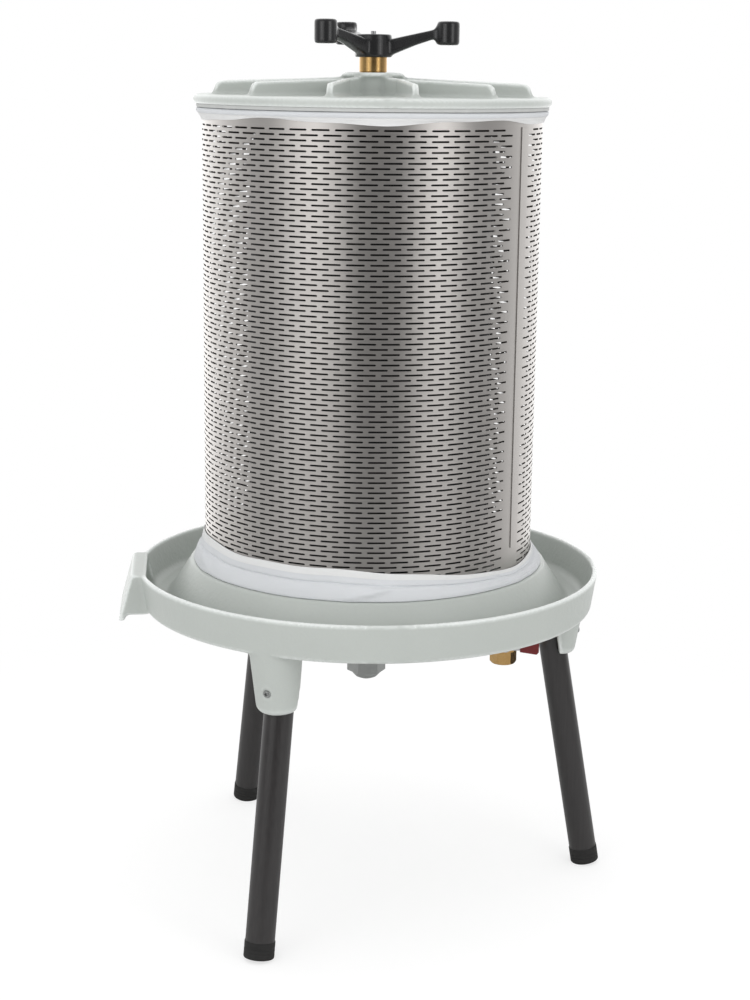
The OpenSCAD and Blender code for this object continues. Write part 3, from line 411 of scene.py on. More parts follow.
def threaded(low, high, radius, pitch, depth, per_turn=14, steps=48):
    """Rings of points for a thread with flat crests and roots, run out to nothing at both ends."""
    count = int((high - low) / pitch * per_turn)
    heights = np.linspace(low, high, count)[:, None]
    around = np.linspace(0, 2 * pi, steps, endpoint=False)[None, :]
    wave = (heights / pitch - around / (2 * pi)) % 1.0
    crest = np.clip((np.abs(wave - 0.5) - crest_half) / flank, 0, 1)
    fade = np.clip(np.minimum(heights - low, high - heights) / pitch, 0, 1)
    reach = radius - depth * (1 - (1 - crest) * fade) * fade - depth * run_out * (1 - fade)
    return np.stack((reach * np.cos(around), reach * np.sin(around), heights + 0 * around), 2)


shank = turned([(shank_r - 0.002, rod_low.z), (shank_r, rod_low.z + 0.002),
                (shank_r, shoulder_z - 0.0005), (shank_r - 0.0006, shoulder_z),
                (thread_r, thread_low - 0.0002)], 48)
tip = turned([(thread_r - 0.003, thread_high)], 48)
screw_cut = threaded(thread_low, thread_high - 0.002, thread_r, thread_pitch, thread_depth)
rod = skin("threaded_rod", np.concatenate((shank, screw_cut, tip)), caps=True)
bright.cover(rod)
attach(rod, "stand")
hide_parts("tie_rod")


# Bladder: a barrel of black food-grade rubber, clamped over the drilled core tube at both ends by
# worm-drive bands. It stands in shallow lengthwise folds and swells out past the bands. A painted cap
# closes the core.
casting.cover(nodes["core_cap"])

rubber = Finish("bladder_rubber", Specular_IOR_Level=0.4)
bloom = rubber.signal.noise(rubber.place, 22.0, 5.0)
skin_grain = rubber.signal.noise(rubber.place, 700.0, 3.0)
rubber.feed(
    Base_Color=rubber.signal.between(bloom, (0.014, 0.014, 0.014), (0.034, 0.033, 0.032)),
    Roughness=0.48 + bloom * 0.28,
    Normal=rubber.signal.bump(skin_grain, 0.0004, 0.30),
)
rubber.cover(nodes["rod_seal"])

sleeve_low, sleeve_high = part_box("bladder")
neck_out = 0.0568
neck_in = 0.0509
belly_out = sleeve_high.x
belly_in = belly_out - 0.006
band_bite = 0.0012
end_h = 0.070
fold_count = 9
fold_depth = 0.0022
fold_from = 0.085
fold_full = 0.155
around = np.linspace(0, 2 * pi, 144, endpoint=False)[None, :]


def barrel(foot, head):
    """Points (radius, height) up the bladder: a chain at its foot, an even wall and one at its head."""
    foot = softened(foot, 3) + [0, sleeve_low.z]
    head = softened(head, 3) + [0, sleeve_high.z]
    wall = np.linspace(foot[-1], head[0], 40)[1:-1]
    return np.concatenate((foot, wall, head))


def gathered(path):
    """Rings round such points, drawn into shallow lengthwise folds where the bladder is wide."""
    reach, heights = path[:, :1], path[:, 1:]
    drift = 0.5 * np.sin(5.2 * heights + 1.3) + 0.3 * np.sin(13.0 * heights)
    broad = 0.35 * np.cos(4 * around - 3.0 * heights)
    folds = np.cos(fold_count * around + 2.4 * drift) + broad - 1.35
    wide = np.clip((reach - fold_from) / (fold_full - fold_from), 0, 1)
    reach = reach + wide * fold_depth * folds
    return np.stack((reach * np.cos(around), reach * np.sin(around), heights + 0 * around), 2)


outside = barrel(
    [(neck_out, 0.0), (neck_out, 0.006), (neck_out - band_bite, 0.014), (neck_out, 0.0265),
     (0.066, 0.031), (0.078, 0.024), (0.086, 0.009), (0.108, 0.002), (0.142, 0.002),
     (belly_out, 0.012), (belly_out, end_h)],
    [(belly_out, -end_h), (belly_out, 0.018), (0.150, 0.043), (0.106, 0.046), (0.082, 0.030),
     (0.075, -0.010), (0.072, -0.030), (neck_out, -0.0305), (neck_out - band_bite, -0.018),
     (neck_out, -0.006), (neck_out, 0.0)])
inside = barrel(
    [(neck_in, 0.0), (neck_in, 0.033), (0.072, 0.039), (0.092, 0.018), (0.112, 0.009),
     (0.140, 0.009), (belly_in, 0.020), (belly_in, end_h)],
    [(belly_in, -end_h), (belly_in, 0.010), (0.146, 0.036), (0.109, 0.039), (0.090, 0.024),
     (0.082, -0.012), (0.078, -0.037), (neck_in, -0.0375), (neck_in, 0.0)])
both_sides = np.concatenate((gathered(outside), gathered(inside)[::-1]))
bladder = skin("rubber_bladder", both_sides, loop=True)
rubber.cover(bladder)
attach(bladder, "stand")
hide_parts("bladder")


# Water inlet: a zinc-plated pipe from the hub, a cast brass elbow and an upright brass ball valve
# whose hexagon end takes the hose. The quarter-turn lever is a steel strip dipped in dark red vinyl.
brass = Finish("turned_brass", Metallic=1.0)
tarnish = brass.signal.noise(brass.place, 70.0, 4.0)
tool_marks = brass.signal.noise(brass.signal.stretched(brass.place, (20.0, 20.0, 2400.0)), 1.0, 2.0)
brass.feed(
    Base_Color=brass.signal.between(tarnish, (0.40, 0.23, 0.075), (0.66, 0.44, 0.19)),
    Roughness=0.12 + tarnish * 0.16 + tool_marks * 0.06,
    Normal=brass.signal.bump(tool_marks, 0.00012, 0.22),
)
brass.cover(*(nodes[n] for n in ("thread_bush", "valve_body", "hose_end", "gland_nut",
                                 "valve_stem")))
elbow = moulded("inlet_elbow", "cast_elbow", grain=0.0011, passes=4, most=40_000)
brass.cover(elbow)
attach(elbow, "stand")
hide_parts("inlet_elbow")

seat_plastic = Finish("valve_seat_plastic", Specular_IOR_Level=0.4)
wear = seat_plastic.signal.noise(seat_plastic.place, 300.0, 3.0)
seat_plastic.feed(
    Base_Color=seat_plastic.signal.between(wear, (0.78, 0.78, 0.75), (0.88, 0.88, 0.86)),
    Roughness=0.40 + wear * 0.15,
)
seat_plastic.cover(nodes["valve_seats"])

vinyl = Finish("red_vinyl", Specular_IOR_Level=0.5)
ripple = vinyl.signal.noise(vinyl.place, 240.0, 3.0)
vinyl.feed(
    Base_Color=vinyl.signal.between(ripple, (0.13, 0.006, 0.008), (0.21, 0.010, 0.012)),
    Roughness=0.28 + ripple * 0.16,
    Normal=vinyl.signal.bump(ripple, 0.0004, 0.30),
)
lever = moulded("lever_sleeve", "dipped_lever", grain=0.0006, passes=4, most=30_000)
vinyl.cover(lever)
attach(lever, "valve_lever")
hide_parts("lever_sleeve")


# Basket: stainless sheet punched with rows of narrow slots, each row shifted by half a slot, then
# rolled into a drum and joined by a lap seam in a plain strip. The brushing runs round the drum, and
# its inside face is painted near black as painted shade inside the drum.
drum_low, drum_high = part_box("press_basket")
drum_r = drum_high.x
sheet_t = 0.0015

steel = Finish("brushed_basket_steel", Metallic=1.0)
x, y, z = steel.signal.node("ShaderNodeSeparateXYZ", None, {0: steel.place}, (0, 1, 2))
along = steel.signal.node("ShaderNodeCombineXYZ", None,
                          {0: y.maths("ARCTAN2", x) * 3.0, 1: z * 900.0})
brush = steel.signal.noise(along, 1.0, 3.0, 0.6)
sheen = steel.signal.noise(steel.signal.stretched(steel.place, (9.0, 9.0, 1.2)), 1.0, 3.0)
# Painted shade: the sheet's inside face is coloured near black and made rougher, standing for the shade
# inside the drum.
inside_shade = 1 - ((x * x + y * y).maths("SQRT") > drum_r - sheet_t / 2)
steel_tone = steel.signal.between(sheen * 0.6 + brush * 0.4,
                                   (0.52, 0.495, 0.475), (0.66, 0.635, 0.61))
steel.feed(
    Base_Color=steel.signal.between(inside_shade * 0.85, steel_tone, (0.070, 0.058, 0.050)),
    Roughness=0.24 + brush * 0.12 + sheen * 0.08 + inside_shade * 0.2,
    Normal=steel.signal.bump(brush, 0.00010, 0.20),
)
steel.cover(nodes["seam_lap"])

strip_from = radians(-43.0)
strip_angle = radians(9.1)
slot_columns = 46
slot_rows = 88
row_pitch = 0.0064
slot_l = 0.0237
slot_h = 0.0023
top_margin = 0.0171
crease = radians(40)
cell_w = (2 * pi - strip_angle) * drum_r / slot_columns
first_row_edge = drum_high.z - top_margin - slot_rows * row_pitch


def faced(flat_faces, thickness):
    """Points and faces of both sides of a flat sheet, from (x, z) outlines seen from behind."""
    points = []
    faces = []
    for outline in flat_faces:
        n = len(points)
        points += [(px, 0.0, pz) for px, pz in outline]
        points += [(px, -thickness, pz) for px, pz in outline]
        faces.append(tuple(reversed(range(n, n + len(outline)))))
        faces.append(tuple(range(n + len(outline), n + 2 * len(outline))))
    return points, faces


def slot_cell():
    """One cell of the sheet with its slot: three points along each edge, which shifted rows share."""
    mid = row_pitch / 2
    half = slot_h / 2
    tip = (cell_w - slot_l) / 2
    bend = tip + half
    right = cell_w - tip
    edge = [(0, 0), (cell_w / 2, 0), (cell_w, 0),
            (cell_w, row_pitch), (cell_w / 2, row_pitch), (0, row_pitch)]
    hole = [(tip, mid), (bend, mid - half), (cell_w / 2, mid - half), (cell_w - bend, mid - half),
            (right, mid), (cell_w - bend, mid + half), (cell_w / 2, mid + half),
            (bend, mid + half)]
    flat = [(edge[0], hole[1], hole[0]), (edge[0], edge[1], hole[2], hole[1]),
            (edge[1], edge[2], hole[3], hole[2]), (edge[2], hole[4], hole[3]),
            (edge[2], edge[3], hole[4]), (edge[3], hole[5], hole[4]),
            (edge[3], edge[4], hole[6], hole[5]), (edge[4], edge[5], hole[7], hole[6]),
            (edge[5], hole[0], hole[7]), (edge[5], edge[0], hole[0])]
    points, faces = faced(flat, sheet_t)
    for (ax, az), (bx, bz) in zip(hole, hole[1:] + hole[:1]):
        n = len(points)
        points += [(bx, 0, bz), (ax, 0, az), (ax, -sheet_t, az), (bx, -sheet_t, bz)]
        faces.append((n, n + 1, n + 2, n + 3))
    mesh = bpy.data.meshes.new("slot_cell")
    mesh.from_pydata(points, [], faces)
    return placed("slotted_sheet", merged(mesh, 1e-7))


def pattern(name, sizes):
    """A geometry node tree with named inputs: gives it, its inputs as signals and its output socket."""
    tree = bpy.data.node_groups.new(name, "GeometryNodeTree")
    tree.interface.new_socket("Geometry", in_out="INPUT", socket_type="NodeSocketGeometry")
    tree.interface.new_socket("Geometry", in_out="OUTPUT", socket_type="NodeSocketGeometry")
    for label, kind in sizes.items():
        tree.interface.new_socket(label, in_out="INPUT", socket_type="NodeSocket" + kind)
    entry = tree.nodes.new("NodeGroupInput")
    result = tree.nodes.new("NodeGroupOutput")
    inputs = {socket.name: Signal(tree, socket) for socket in entry.outputs if socket.name}
    return tree, inputs, result.inputs["Geometry"]


def patterned(piece, tree, **values):
    """Runs a tree on a piece, its inputs set by their identifiers, and keeps the result as mesh."""
    modifier = piece.modifiers.new(tree.name, "NODES")
    modifier.node_group = tree
    for item in tree.interface.items_tree:
        label = item.name.replace(" ", "_")
        if item.in_out == "INPUT" and label in values:
            modifier[item.identifier] = values[label]
    return settled(piece)


tree, size, result = pattern("punched_drum", {
    "Rows": "Int", "Columns": "Int", "Row Pitch": "Float", "Cell Width": "Float", "Radius": "Float",
    "Start Angle": "Float", "First Row": "Float", "Finish": "Material"})
signal = Signal(tree)
index = signal.node("GeometryNodeInputIndex")
row = ((index + 0.5) / size["Columns"]).maths("FLOOR")
column = index - row * size["Columns"]
shifted = row % 2.0
spot = signal.node("ShaderNodeCombineXYZ", None,
                   {0: (column + shifted * 0.5) * size["Cell Width"], 2: row * size["Row Pitch"]})
spots = signal.node("GeometryNodePoints", None,
                    {"Count": size["Rows"] * size["Columns"], "Position": spot})
spots = signal.node("GeometryNodeDeleteGeometry", {"domain": "POINT"},
                    {"Geometry": spots, "Selection": shifted * (column > size["Columns"] - 1.5)})
sheet = signal.node("GeometryNodeInstanceOnPoints", None,
                    {"Points": spots, "Instance": size["Geometry"]})
sheet = signal.node("GeometryNodeRealizeInstances", None, {"Geometry": sheet})
flat_x, flat_y, flat_z = signal.node(
    "ShaderNodeSeparateXYZ", None, {0: signal.node("GeometryNodeInputPosition")}, (0, 1, 2))
angle = size["Start Angle"] - flat_x / size["Radius"]
reach = size["Radius"] + flat_y
rolled = signal.node("ShaderNodeCombineXYZ", None, {
    0: reach * angle.maths("COSINE"), 1: reach * angle.maths("SINE"), 2: size["First Row"] + flat_z})
sheet = signal.node("GeometryNodeSetPosition", None, {"Geometry": sheet, "Position": rolled})
sheet = signal.node("GeometryNodeSetMaterial", None,
                    {"Geometry": sheet, "Material": size["Finish"]})
signal.join(result, sheet)
drum = patterned(slot_cell(), tree, Rows=slot_rows, Columns=slot_columns, Row_Pitch=row_pitch,
                 Cell_Width=cell_w, Radius=drum_r, Start_Angle=strip_from, First_Row=first_row_edge,
                 Finish=steel.material)

# The plain parts of the same sheet: the bands above and below the slots, the seam's strip and the
# shifted rows' ends. They are laid out flat, rolled up and merged with the slotted part.
half_steps = [i * cell_w / 2 for i in range(2 * slot_columns + 1)]
strip_steps = list(np.linspace(slot_columns * cell_w, 2 * pi * drum_r, 5))
all_steps = half_steps + strip_steps[1:]
row_edges = [i * row_pitch for i in range(slot_rows + 1)]
low_edge = drum_low.z - first_row_edge
high_edge = drum_high.z - first_row_edge
plain = []
for a, b in zip(all_steps, all_steps[1:]):
    for low, high in ((low_edge, 0.0), (row_edges[-1], high_edge)):
        plain.append([(a, low), (b, low), (b, high), (a, high)])
for i, (low, high) in enumerate(zip(row_edges, row_edges[1:])):
    steps = list(zip(strip_steps, strip_steps[1:]))
    if i % 2:
        steps += [tuple(half_steps[:2]), tuple(half_steps[-2:])]
    plain += [[(a, low), (b, low), (b, high), (a, high)] for a, b in steps]
points, faces = faced(plain, sheet_t)
for a, b in zip(all_steps, all_steps[1:]):
    for edge, ends in ((low_edge, (b, a)), (high_edge, (a, b))):
        n = len(points)
        p, q = ends
        points += [(p, 0, edge), (q, 0, edge), (q, -sheet_t, edge), (p, -sheet_t, edge)]
        faces.append((n + 3, n + 2, n + 1, n))
rolled = [((drum_r + py) * cos(strip_from - px / drum_r),
           (drum_r + py) * sin(strip_from - px / drum_r), first_row_edge + pz)
          for px, py, pz in points]
plain_mesh = bpy.data.meshes.new("plain_sheet")
plain_mesh.from_pydata(rolled, [], faces)
work = bmesh.new()
work.from_mesh(drum.data)
work.from_mesh(plain_mesh)
bmesh.ops.remove_doubles(work, verts=work.verts, dist=2e-6)
for edge in work.edges:
    edge.smooth = edge.is_manifold and edge.calc_face_angle(0.0) < crease
work.to_mesh(drum.data)
work.free()
bpy.data.meshes.remove(plain_mesh)
drum.data.shade_smooth()
drum.data.set_sharp_from_angle(angle=crease)
steel.cover(drum)
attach(drum, "basket")
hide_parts("press_basket")


# Filter cloth: white woven polyester folded over both edges of the basket. The upper cuff hangs out
# from under the lid in a soft roll, and the lower one stands on the bed in slack gathers with a wavy
# upper edge.
cloth = Finish("filter_cloth", Specular_IOR_Level=0.25, Sheen_Weight=0.25, Sheen_Roughness=0.5)
cut_place = cloth.signal.node("ShaderNodeUVMap", {"uv_map": "cut"})
warp, weft = cloth.signal.node("ShaderNodeSeparateXYZ", None, {0: cut_place}, (0, 1))
thread_step = 0.0009
hem_w = 0.0075
stitch_l = 0.0042
stitch_in = 0.0014
stitch_half = 0.0004
warp_wave = (warp * (2 * pi / thread_step)).maths("SINE")
weft_wave = (weft * (2 * pi / thread_step)).maths("SINE")
weave = (warp_wave * weft_wave) * 0.5 + 0.5
rumple = cloth.signal.noise(cloth.place, 45.0, 4.0)
damp = cloth.signal.noise(cloth.place, 9.0, 3.0)
hemmed = 1 - (weft > hem_w)
off_row = (weft - (hem_w - stitch_in)).maths("ABSOLUTE") > stitch_half
stitch = (1 - off_row) * ((warp % stitch_l) > stitch_l * 0.3)
plain_white = cloth.signal.between(damp * 0.6 + weave * 0.4,
                                   (0.67, 0.69, 0.715), (0.78, 0.795, 0.815))
cloth_relief = weave * 0.25 + rumple * 0.55 + hemmed * 0.3 - stitch * 0.25
cloth.feed(
    Base_Color=cloth.signal.between(hemmed * 0.75, plain_white, (0.84, 0.84, 0.83)),
    Roughness=0.72 + damp * 0.2,
    Normal=cloth.signal.bump(cloth_relief, 0.0014, 0.5),
)

cloth_t = 0.0008
turn_steps = 720
turn = np.linspace(0, 2 * pi, turn_steps, endpoint=False)


def waves(counts, heights, seed):
    """A sum of waves round the drum with fixed random phases."""
    phases = np.random.RandomState(seed).uniform(0, 2 * pi, len(counts))
    return sum(h * np.sin(c * turn + p) for c, h, p in zip(counts, heights, phases))


def cuff(name, stations):
    """A band of cloth through stations of (radius, height), each a number or a list round the drum.
    Gives the piece with its flat width and length."""
    chain = np.array([[np.broadcast_to(v, turn.shape) for v in station] for station in stations])
    path = softened(chain, 3)
    rings = np.stack((path[:, 0] * np.cos(turn), path[:, 0] * np.sin(turn), path[:, 1]), 2)
    lengths = np.linalg.norm(np.diff(path, axis=0), axis=1).mean(1)
    width = lengths.sum()
    from_hem = width - np.array([0.0, *np.cumsum(lengths)])
    piece = skin(name, rings, uv=(2 * pi * path[:, 0].mean() / turn_steps, from_hem))
    solid = piece.modifiers.new("thickness", "SOLIDIFY")
    solid.thickness = cloth_t
    solid.offset = 0.0
    cloth.cover(piece)
    return piece, width, 2 * pi * path[:, 0].mean()


drum_in = drum_r - sheet_t
hang = cloth_t / 2 + 0.0006
edge_wave = 0.003
slow = waves((3, 5, 8, 13), (0.5, 0.7, 0.5, 0.3), 4)
quick_folds = waves((17, 23, 29, 41), (0.5, 0.5, 0.4, 0.25), 7)
hem_drop = 0.011
roll_out = 0.0068
edge_line = np.sin(5 * turn + radians(20)) + 0.3 * np.sin(13 * turn)
hem = drum_high.z - hem_drop + edge_wave * edge_line
roll_r = drum_r + roll_out + 0.0006 * slow + 0.0003 * quick_folds
upper, width, length = cuff("upper_cuff", [
    (drum_in - hang, drum_high.z - 0.009),
    (drum_in - hang, drum_high.z - 0.004),
    (drum_in - hang, drum_high.z + 0.0009),
    (drum_r + hang, drum_high.z + 0.0010),
    (roll_r - 0.0015, drum_high.z + 0.0009),
    (roll_r + 0.0004, drum_high.z - 0.0008),
    (roll_r - 0.0004, drum_high.z - 0.0040),
    (roll_r - 0.0026, drum_high.z - 0.0058),
    (roll_r - 0.0032 + 0.0004 * slow, drum_high.z - 0.0072),
    (drum_r + hang + 0.0012, 0.5 * (hem + drum_high.z - 0.0075)),
    (drum_r + hang, hem),
])
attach(upper, "basket")
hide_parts("upper_cloth_cuff")

# The lower cuff's height above the drum's foot is given by degrees round the drum. Each leaning fold
# has its turn at the foot, its lean in radians a metre, its breadth in radians and its height.
bed_gap = 0.0013
rise_at = {-180: 0.040, -164: 0.041, -142: 0.036, -105: 0.037, -90: 0.033, -73: 0.027, -55: 0.020,
           -42: 0.015, -30: 0.015, 0: 0.024, 60: 0.033, 120: 0.030}
rise = np.interp(turn, [radians(a) for a in rise_at], list(rise_at.values()), period=2 * pi)
blur = 14
rise = sum(np.roll(rise, k) for k in range(-blur, blur + 1)) / (2 * blur + 1)
rise = rise + 0.0006 * np.sin(13 * turn)
spread = 0.0142 + 0.0005 * slow + 0.0005 * quick_folds
slack = 0.0006 * slow + 0.0006 * quick_folds
leaning_folds = [(4.50, 14.0, 0.062, 0.0034), (3.55, -9.0, 0.060, 0.0014),
                 (5.35, 10.0, 0.050, 0.0013), (2.10, -9.0, 0.060, 0.0014),
                 (0.60, 8.0, 0.050, 0.0012)]


def leaning(share):
    """How far the leaning folds stand out round the drum, at a share of the cuff's height."""
    out = np.zeros(turn_steps)
    for foot_turn, lean, breadth, tall in leaning_folds:
        away = (turn - foot_turn - lean * share * rise + pi) % (2 * pi) - pi
        out += tall * np.exp(-(away / breadth) ** 2)
    return out


lower, width, length = cuff("lower_cuff", [
    (drum_in - hang, drum_low.z + 0.009),
    (drum_in - hang, drum_low.z + 0.003),
    (drum_in - hang, drum_low.z - bed_gap),
    (drum_r + hang, drum_low.z - bed_gap),
    (drum_r + spread * 0.6, drum_low.z - bed_gap),
    (drum_r + spread, drum_low.z - bed_gap),
    (drum_r + spread + 0.0006, drum_low.z + 0.0004),
    (drum_r + spread * 0.98 + 0.5 * leaning(0.1), drum_low.z + 0.0040),
    (drum_r + spread * 0.88 + 0.5 * slack + leaning(0.24), drum_low.z + 0.24 * rise),
    (drum_r + spread * 0.74 + slack + leaning(0.36), drum_low.z + 0.36 * rise),
    (drum_r + spread * 0.60 + slack + leaning(0.45), drum_low.z + 0.46 * rise),
    (drum_r + spread * 0.31 + 0.5 * slack + 0.5 * leaning(0.50), drum_low.z + 0.50 * rise),
    (drum_r + spread * 0.24 + 0.5 * slack + 0.3 * leaning(0.53), drum_low.z + 0.525 * rise),
    (drum_r + spread * 0.36 + 0.5 * slack, drum_low.z + 0.57 * rise),
    (drum_r + hang + 0.0030 + 0.4 * slack, drum_low.z + 0.72 * rise),
    (drum_r + hang + 0.0016, drum_low.z + 0.86 * rise),
    (drum_r + hang + 0.0006, drum_low.z + 0.95 * rise),
    (drum_r + hang, drum_low.z + rise),
])
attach(lower, "basket")
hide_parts("lower_cloth_cuff")


# Lid: an aluminium casting in the same paint as the pan. Six arms of paired ribs run from the boss to
# the rim, and a pale rubber ring seals it on the basket's upper edge.
lid = moulded("lid", "cast_lid", grain=0.0016, passes=4, most=190_000, fillet=0.003)
edged(lid, 0.0050)
casting.cover(lid)
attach(lid, "lid")
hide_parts("lid")

seal_rubber = Finish("lid_seal_rubber", Specular_IOR_Level=0.35)
chalk = seal_rubber.signal.noise(seal_rubber.place, 80.0, 3.0)
seal_rubber.feed(
    Base_Color=seal_rubber.signal.between(chalk, (0.50, 0.51, 0.50), (0.60, 0.61, 0.60)),
    Roughness=0.55 + chalk * 0.2,
)
seal_rubber.cover(nodes["lid_seal"])


# Star nut: a three-armed handle moulded in glossy black plastic on a turned brass bush with the thread
# for the rod. A spring ring keeps the thrust washer on the bush, and a small screw holds the handle
# down.
gloss = Finish("black_moulding", Specular_IOR_Level=0.55, Coat_Weight=0.25, Coat_Roughness=0.08)
peel = gloss.signal.noise(gloss.place, 260.0, 2.0)
smear = gloss.signal.noise(gloss.place, 30.0, 4.0)
gloss.feed(
    Base_Color=gloss.signal.between(smear, (0.010, 0.010, 0.011), (0.018, 0.018, 0.019)),
    Roughness=0.20 + smear * 0.12,
    Normal=gloss.signal.bump(peel, 0.0002, 0.18),
)
handle = moulded("star_handle", "moulded_handle", grain=0.0011, passes=12, most=120_000,
                 fillet=0.007, swell=0.0001)

# The mould draws the arms slimmer between hub and knob and faces the hub's top flat. Heights are taken
# from the hub's top, and arm_at gives the distances at which the arm's upper and lower lines are known.
arm_turn = radians(-13.4)
arm_apart = 2 * pi / 3
hub_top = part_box("star_handle")[1].z - 0.017
hub_r = 0.024
rim_r = 0.0243
face_r = 0.015
arm_root = 0.045
knob_r = 0.0145
knob_out = 0.097
knob_gap = 0.0005
knob_fade = 0.0035
arm_at = (0.024, 0.056, 0.0805)
mould_top = (-0.0014, 0.0039, 0.0078)
mould_low = (-0.0250, -0.0165, -0.0091)
slim_top = (-0.0054, 0.0016, 0.0068)
slim_low = (-0.0250, -0.0131, -0.0050)
spots = np.empty((len(handle.data.vertices), 3), np.float32)
handle.data.vertices.foreach_get("co", spots.ravel())
reach = np.hypot(spots[:, 0], spots[:, 1])
aside = np.arctan2(spots[:, 1], spots[:, 0]) - arm_turn
aside = (aside + arm_apart / 2) % arm_apart - arm_apart / 2
along = reach * np.cos(aside)
top, low, thin_top, thin_low = (
    np.interp(along, arm_at, line) for line in (mould_top, mould_low, slim_top, slim_low))
z = spots[:, 2] - hub_top
share = (z - low) / (top - low)
off_knob = np.hypot(along - knob_out, reach * np.sin(aside)) - knob_r
on_arm = np.clip((off_knob - knob_gap) / knob_fade, 0, 1) * (reach > hub_r)
z = z + on_arm * (thin_low + share * (thin_top - thin_low) - z)
near_hub = (reach > hub_r) & (along < arm_root)
z = np.where(near_hub, np.minimum(z, thin_top + 0.0003), z)
bevel = np.interp(reach, (face_r, 0.020, rim_r), (0.0, -0.003, -0.0092))
on_top = (reach <= hub_r) & (spots[:, 2] - hub_top > bevel - 0.0015)
z = np.where(on_top, np.interp(reach, (0.0190, rim_r), (0.0, -0.0065)), z)
wider = np.interp(reach, (face_r, 0.0195, rim_r), (face_r, 0.0236, rim_r)) / np.maximum(reach, 1e-6)
spots[:, :2] *= np.where(on_top & (reach > face_r), wider, 1.0)[:, None]
spots[:, 2] = z + hub_top
handle.data.vertices.foreach_set("co", spots.ravel())
evened = handle.modifiers.new("evened", "SMOOTH")
evened.factor = 0.5
evened.iterations = 3
settled(handle)
gloss.cover(handle)
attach(handle, "star_nut")
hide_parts("star_handle")


# Studio: a white floor that keeps the shadow and runs into a white background, a broad soft light with
# a narrow core on each side of the camera and one light above, and the camera at the height, distance
# and tilt of the photograph.
floor_r = 1.5
shadow_r = 0.45
white_r = 1.2
floor = placed("floor", bpy.data.meshes.new("floor"))
work = bmesh.new()
bmesh.ops.create_circle(work, cap_ends=True, segments=96, radius=floor_r)
work.to_mesh(floor.data)
work.free()
floor_white = bpy.data.materials.new("floor_white")
floor_white.use_nodes = True
floor_white.node_tree.nodes.clear()
signal = Signal(floor_white.node_tree)
seen = signal.node("ShaderNodeLightPath")
matt = signal.node("ShaderNodeBsdfDiffuse", None, {"Color": (0.80, 0.80, 0.80, 1.0)})
shadowed = signal.node("ShaderNodeBsdfDiffuse", None, {"Color": (0.42, 0.42, 0.42, 1.0)})
lit = signal.node("ShaderNodeEmission", None, {"Color": (1.0, 1.0, 1.0, 1.0), "Strength": 0.66})
both = signal.node("ShaderNodeAddShader", None, {0: shadowed, 1: lit})
white = signal.node("ShaderNodeEmission", None, {"Color": (1.0, 1.0, 1.0, 1.0), "Strength": 1.0})
out_from_middle = signal.node("ShaderNodeVectorMath", {"operation": "LENGTH"},
                              {0: signal.node("ShaderNodeTexCoord", out=3)}, 1)
away = signal.node("ShaderNodeMapRange", {"interpolation_type": "SMOOTHSTEP"},
                   {"Value": out_from_middle, "From Min": shadow_r, "From Max": white_r})
both = signal.node("ShaderNodeMixShader", None, {0: away, 1: both, 2: white})
mixed = signal.node("ShaderNodeMixShader", None, {0: seen, 1: matt, 2: both})
signal.node("ShaderNodeOutputMaterial", None, {"Surface": mixed}, ())
floor.data.materials.append(floor_white)

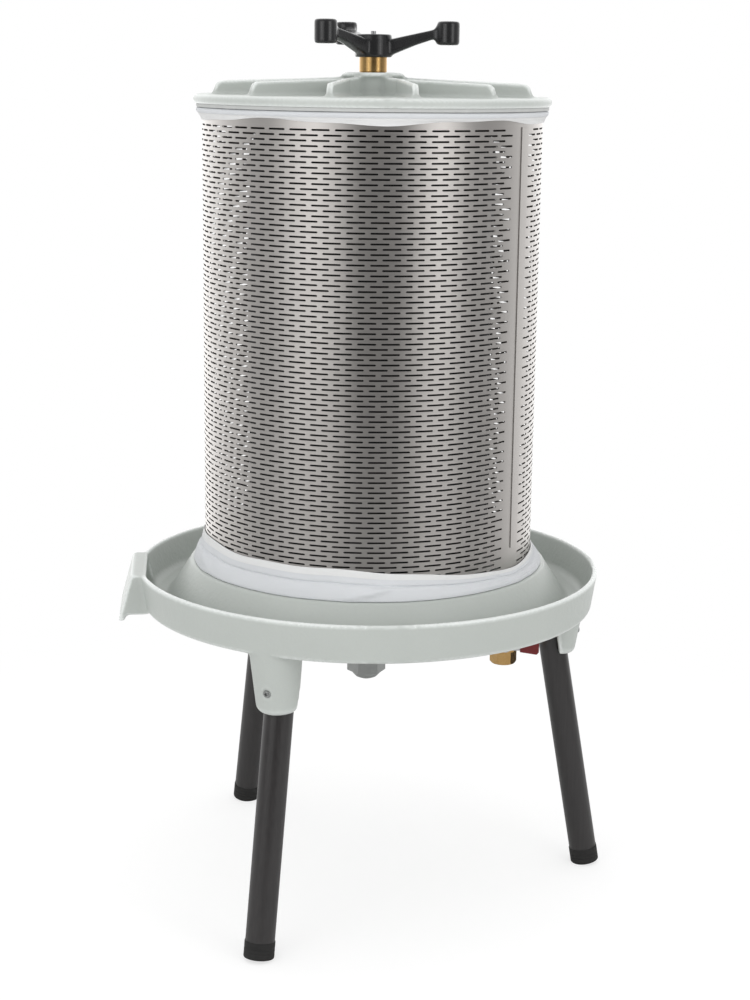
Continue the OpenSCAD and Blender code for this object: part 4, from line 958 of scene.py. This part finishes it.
world = bpy.data.worlds.new("studio")
world.use_nodes = True
world.node_tree.nodes.clear()
bpy.context.scene.world = world
signal = Signal(world.node_tree)
camera_ray, glossy_ray, through_ray = signal.node("ShaderNodeLightPath", None, None, (0, 3, 6))
direction = signal.node("ShaderNodeTexCoord", None, None, 0)
back = signal.node("ShaderNodeSeparateXYZ", None, {0: direction}, 1)
studio = signal.node("ShaderNodeValToRGB", {"stops": [
    (0.0, (0.13, 0.13, 0.13, 1.0)), (0.5, (0.42, 0.42, 0.42, 1.0)),
    (0.8, (1.05, 1.05, 1.05, 1.0)), (1.0, (1.9, 1.9, 1.9, 1.0))]}, {"Fac": back * 0.5 + 0.5})
white = camera_ray.maths("MAXIMUM", through_ray)
ambient = 0.79
strength = white + (1 - white) * (glossy_ray * studio + (1 - glossy_ray) * ambient)
sky = signal.node("ShaderNodeBackground", None,
                  {"Color": (1.0, 1.0, 1.0, 1.0), "Strength": strength})
signal.node("ShaderNodeOutputWorld", None, {"Surface": sky}, ())


def soft_light(name, place, target, width, height, power):
    """A rectangular soft light that faces a target."""
    data = bpy.data.lights.new(name, "AREA")
    data.shape = "RECTANGLE"
    data.size = width
    data.size_y = height
    data.energy = power
    lamp = bpy.data.objects.new(name, data)
    bpy.context.scene.collection.objects.link(lamp)
    lamp.location = place
    lamp.rotation_euler = (Vector(target) - Vector(place)).to_track_quat("-Z", "Y").to_euler()


middle = (0.0, 0.0, 0.75)
soft_light("left_light", (-1.66, -1.82, 1.20), middle, 1.9, 2.3, 11.5)
soft_light("left_core", (-1.60, -1.75, 1.45), middle, 0.22, 1.2, 1.5)
soft_light("right_light", (1.50, -1.92, 1.20), middle, 1.4, 2.3, 9.0)
soft_light("right_core", (1.45, -1.85, 1.45), middle, 0.20, 1.2, 1.6)
soft_light("top_light", (0.0, 0.2, 2.6), middle, 2.2, 1.8, 8.0)

camera_turn = radians(-95.357)
camera_out = 2.5253
camera_h = 1.1113
pitch = radians(12.855)
yaw = radians(0.211)
roll = radians(0.705)
focal_px = 1903.74
image_h = 1000
sensor = 36.0
forward = Vector((sin(yaw) * cos(pitch), cos(yaw) * cos(pitch), -sin(pitch)))
level = Vector((cos(yaw), -sin(yaw), 0.0))
upright = level.cross(forward)
right = cos(roll) * level + sin(roll) * upright
up = -sin(roll) * level + cos(roll) * upright
to_object = Matrix.Rotation(camera_turn + pi / 2, 3, "Z")
axes = Matrix((to_object @ right, to_object @ up, to_object @ -forward)).transposed()
camera_data = bpy.data.cameras.new("camera")
camera_data.sensor_width = sensor
camera_data.lens = focal_px / image_h * sensor
camera = bpy.data.objects.new("camera", camera_data)
bpy.context.scene.collection.objects.link(camera)
camera.matrix_world = Matrix.Translation(
    (camera_out * cos(camera_turn), camera_out * sin(camera_turn), camera_h)) @ axes.to_4x4()
bpy.context.scene.camera = camera
bpy.context.scene.view_settings.view_transform = "Standard"
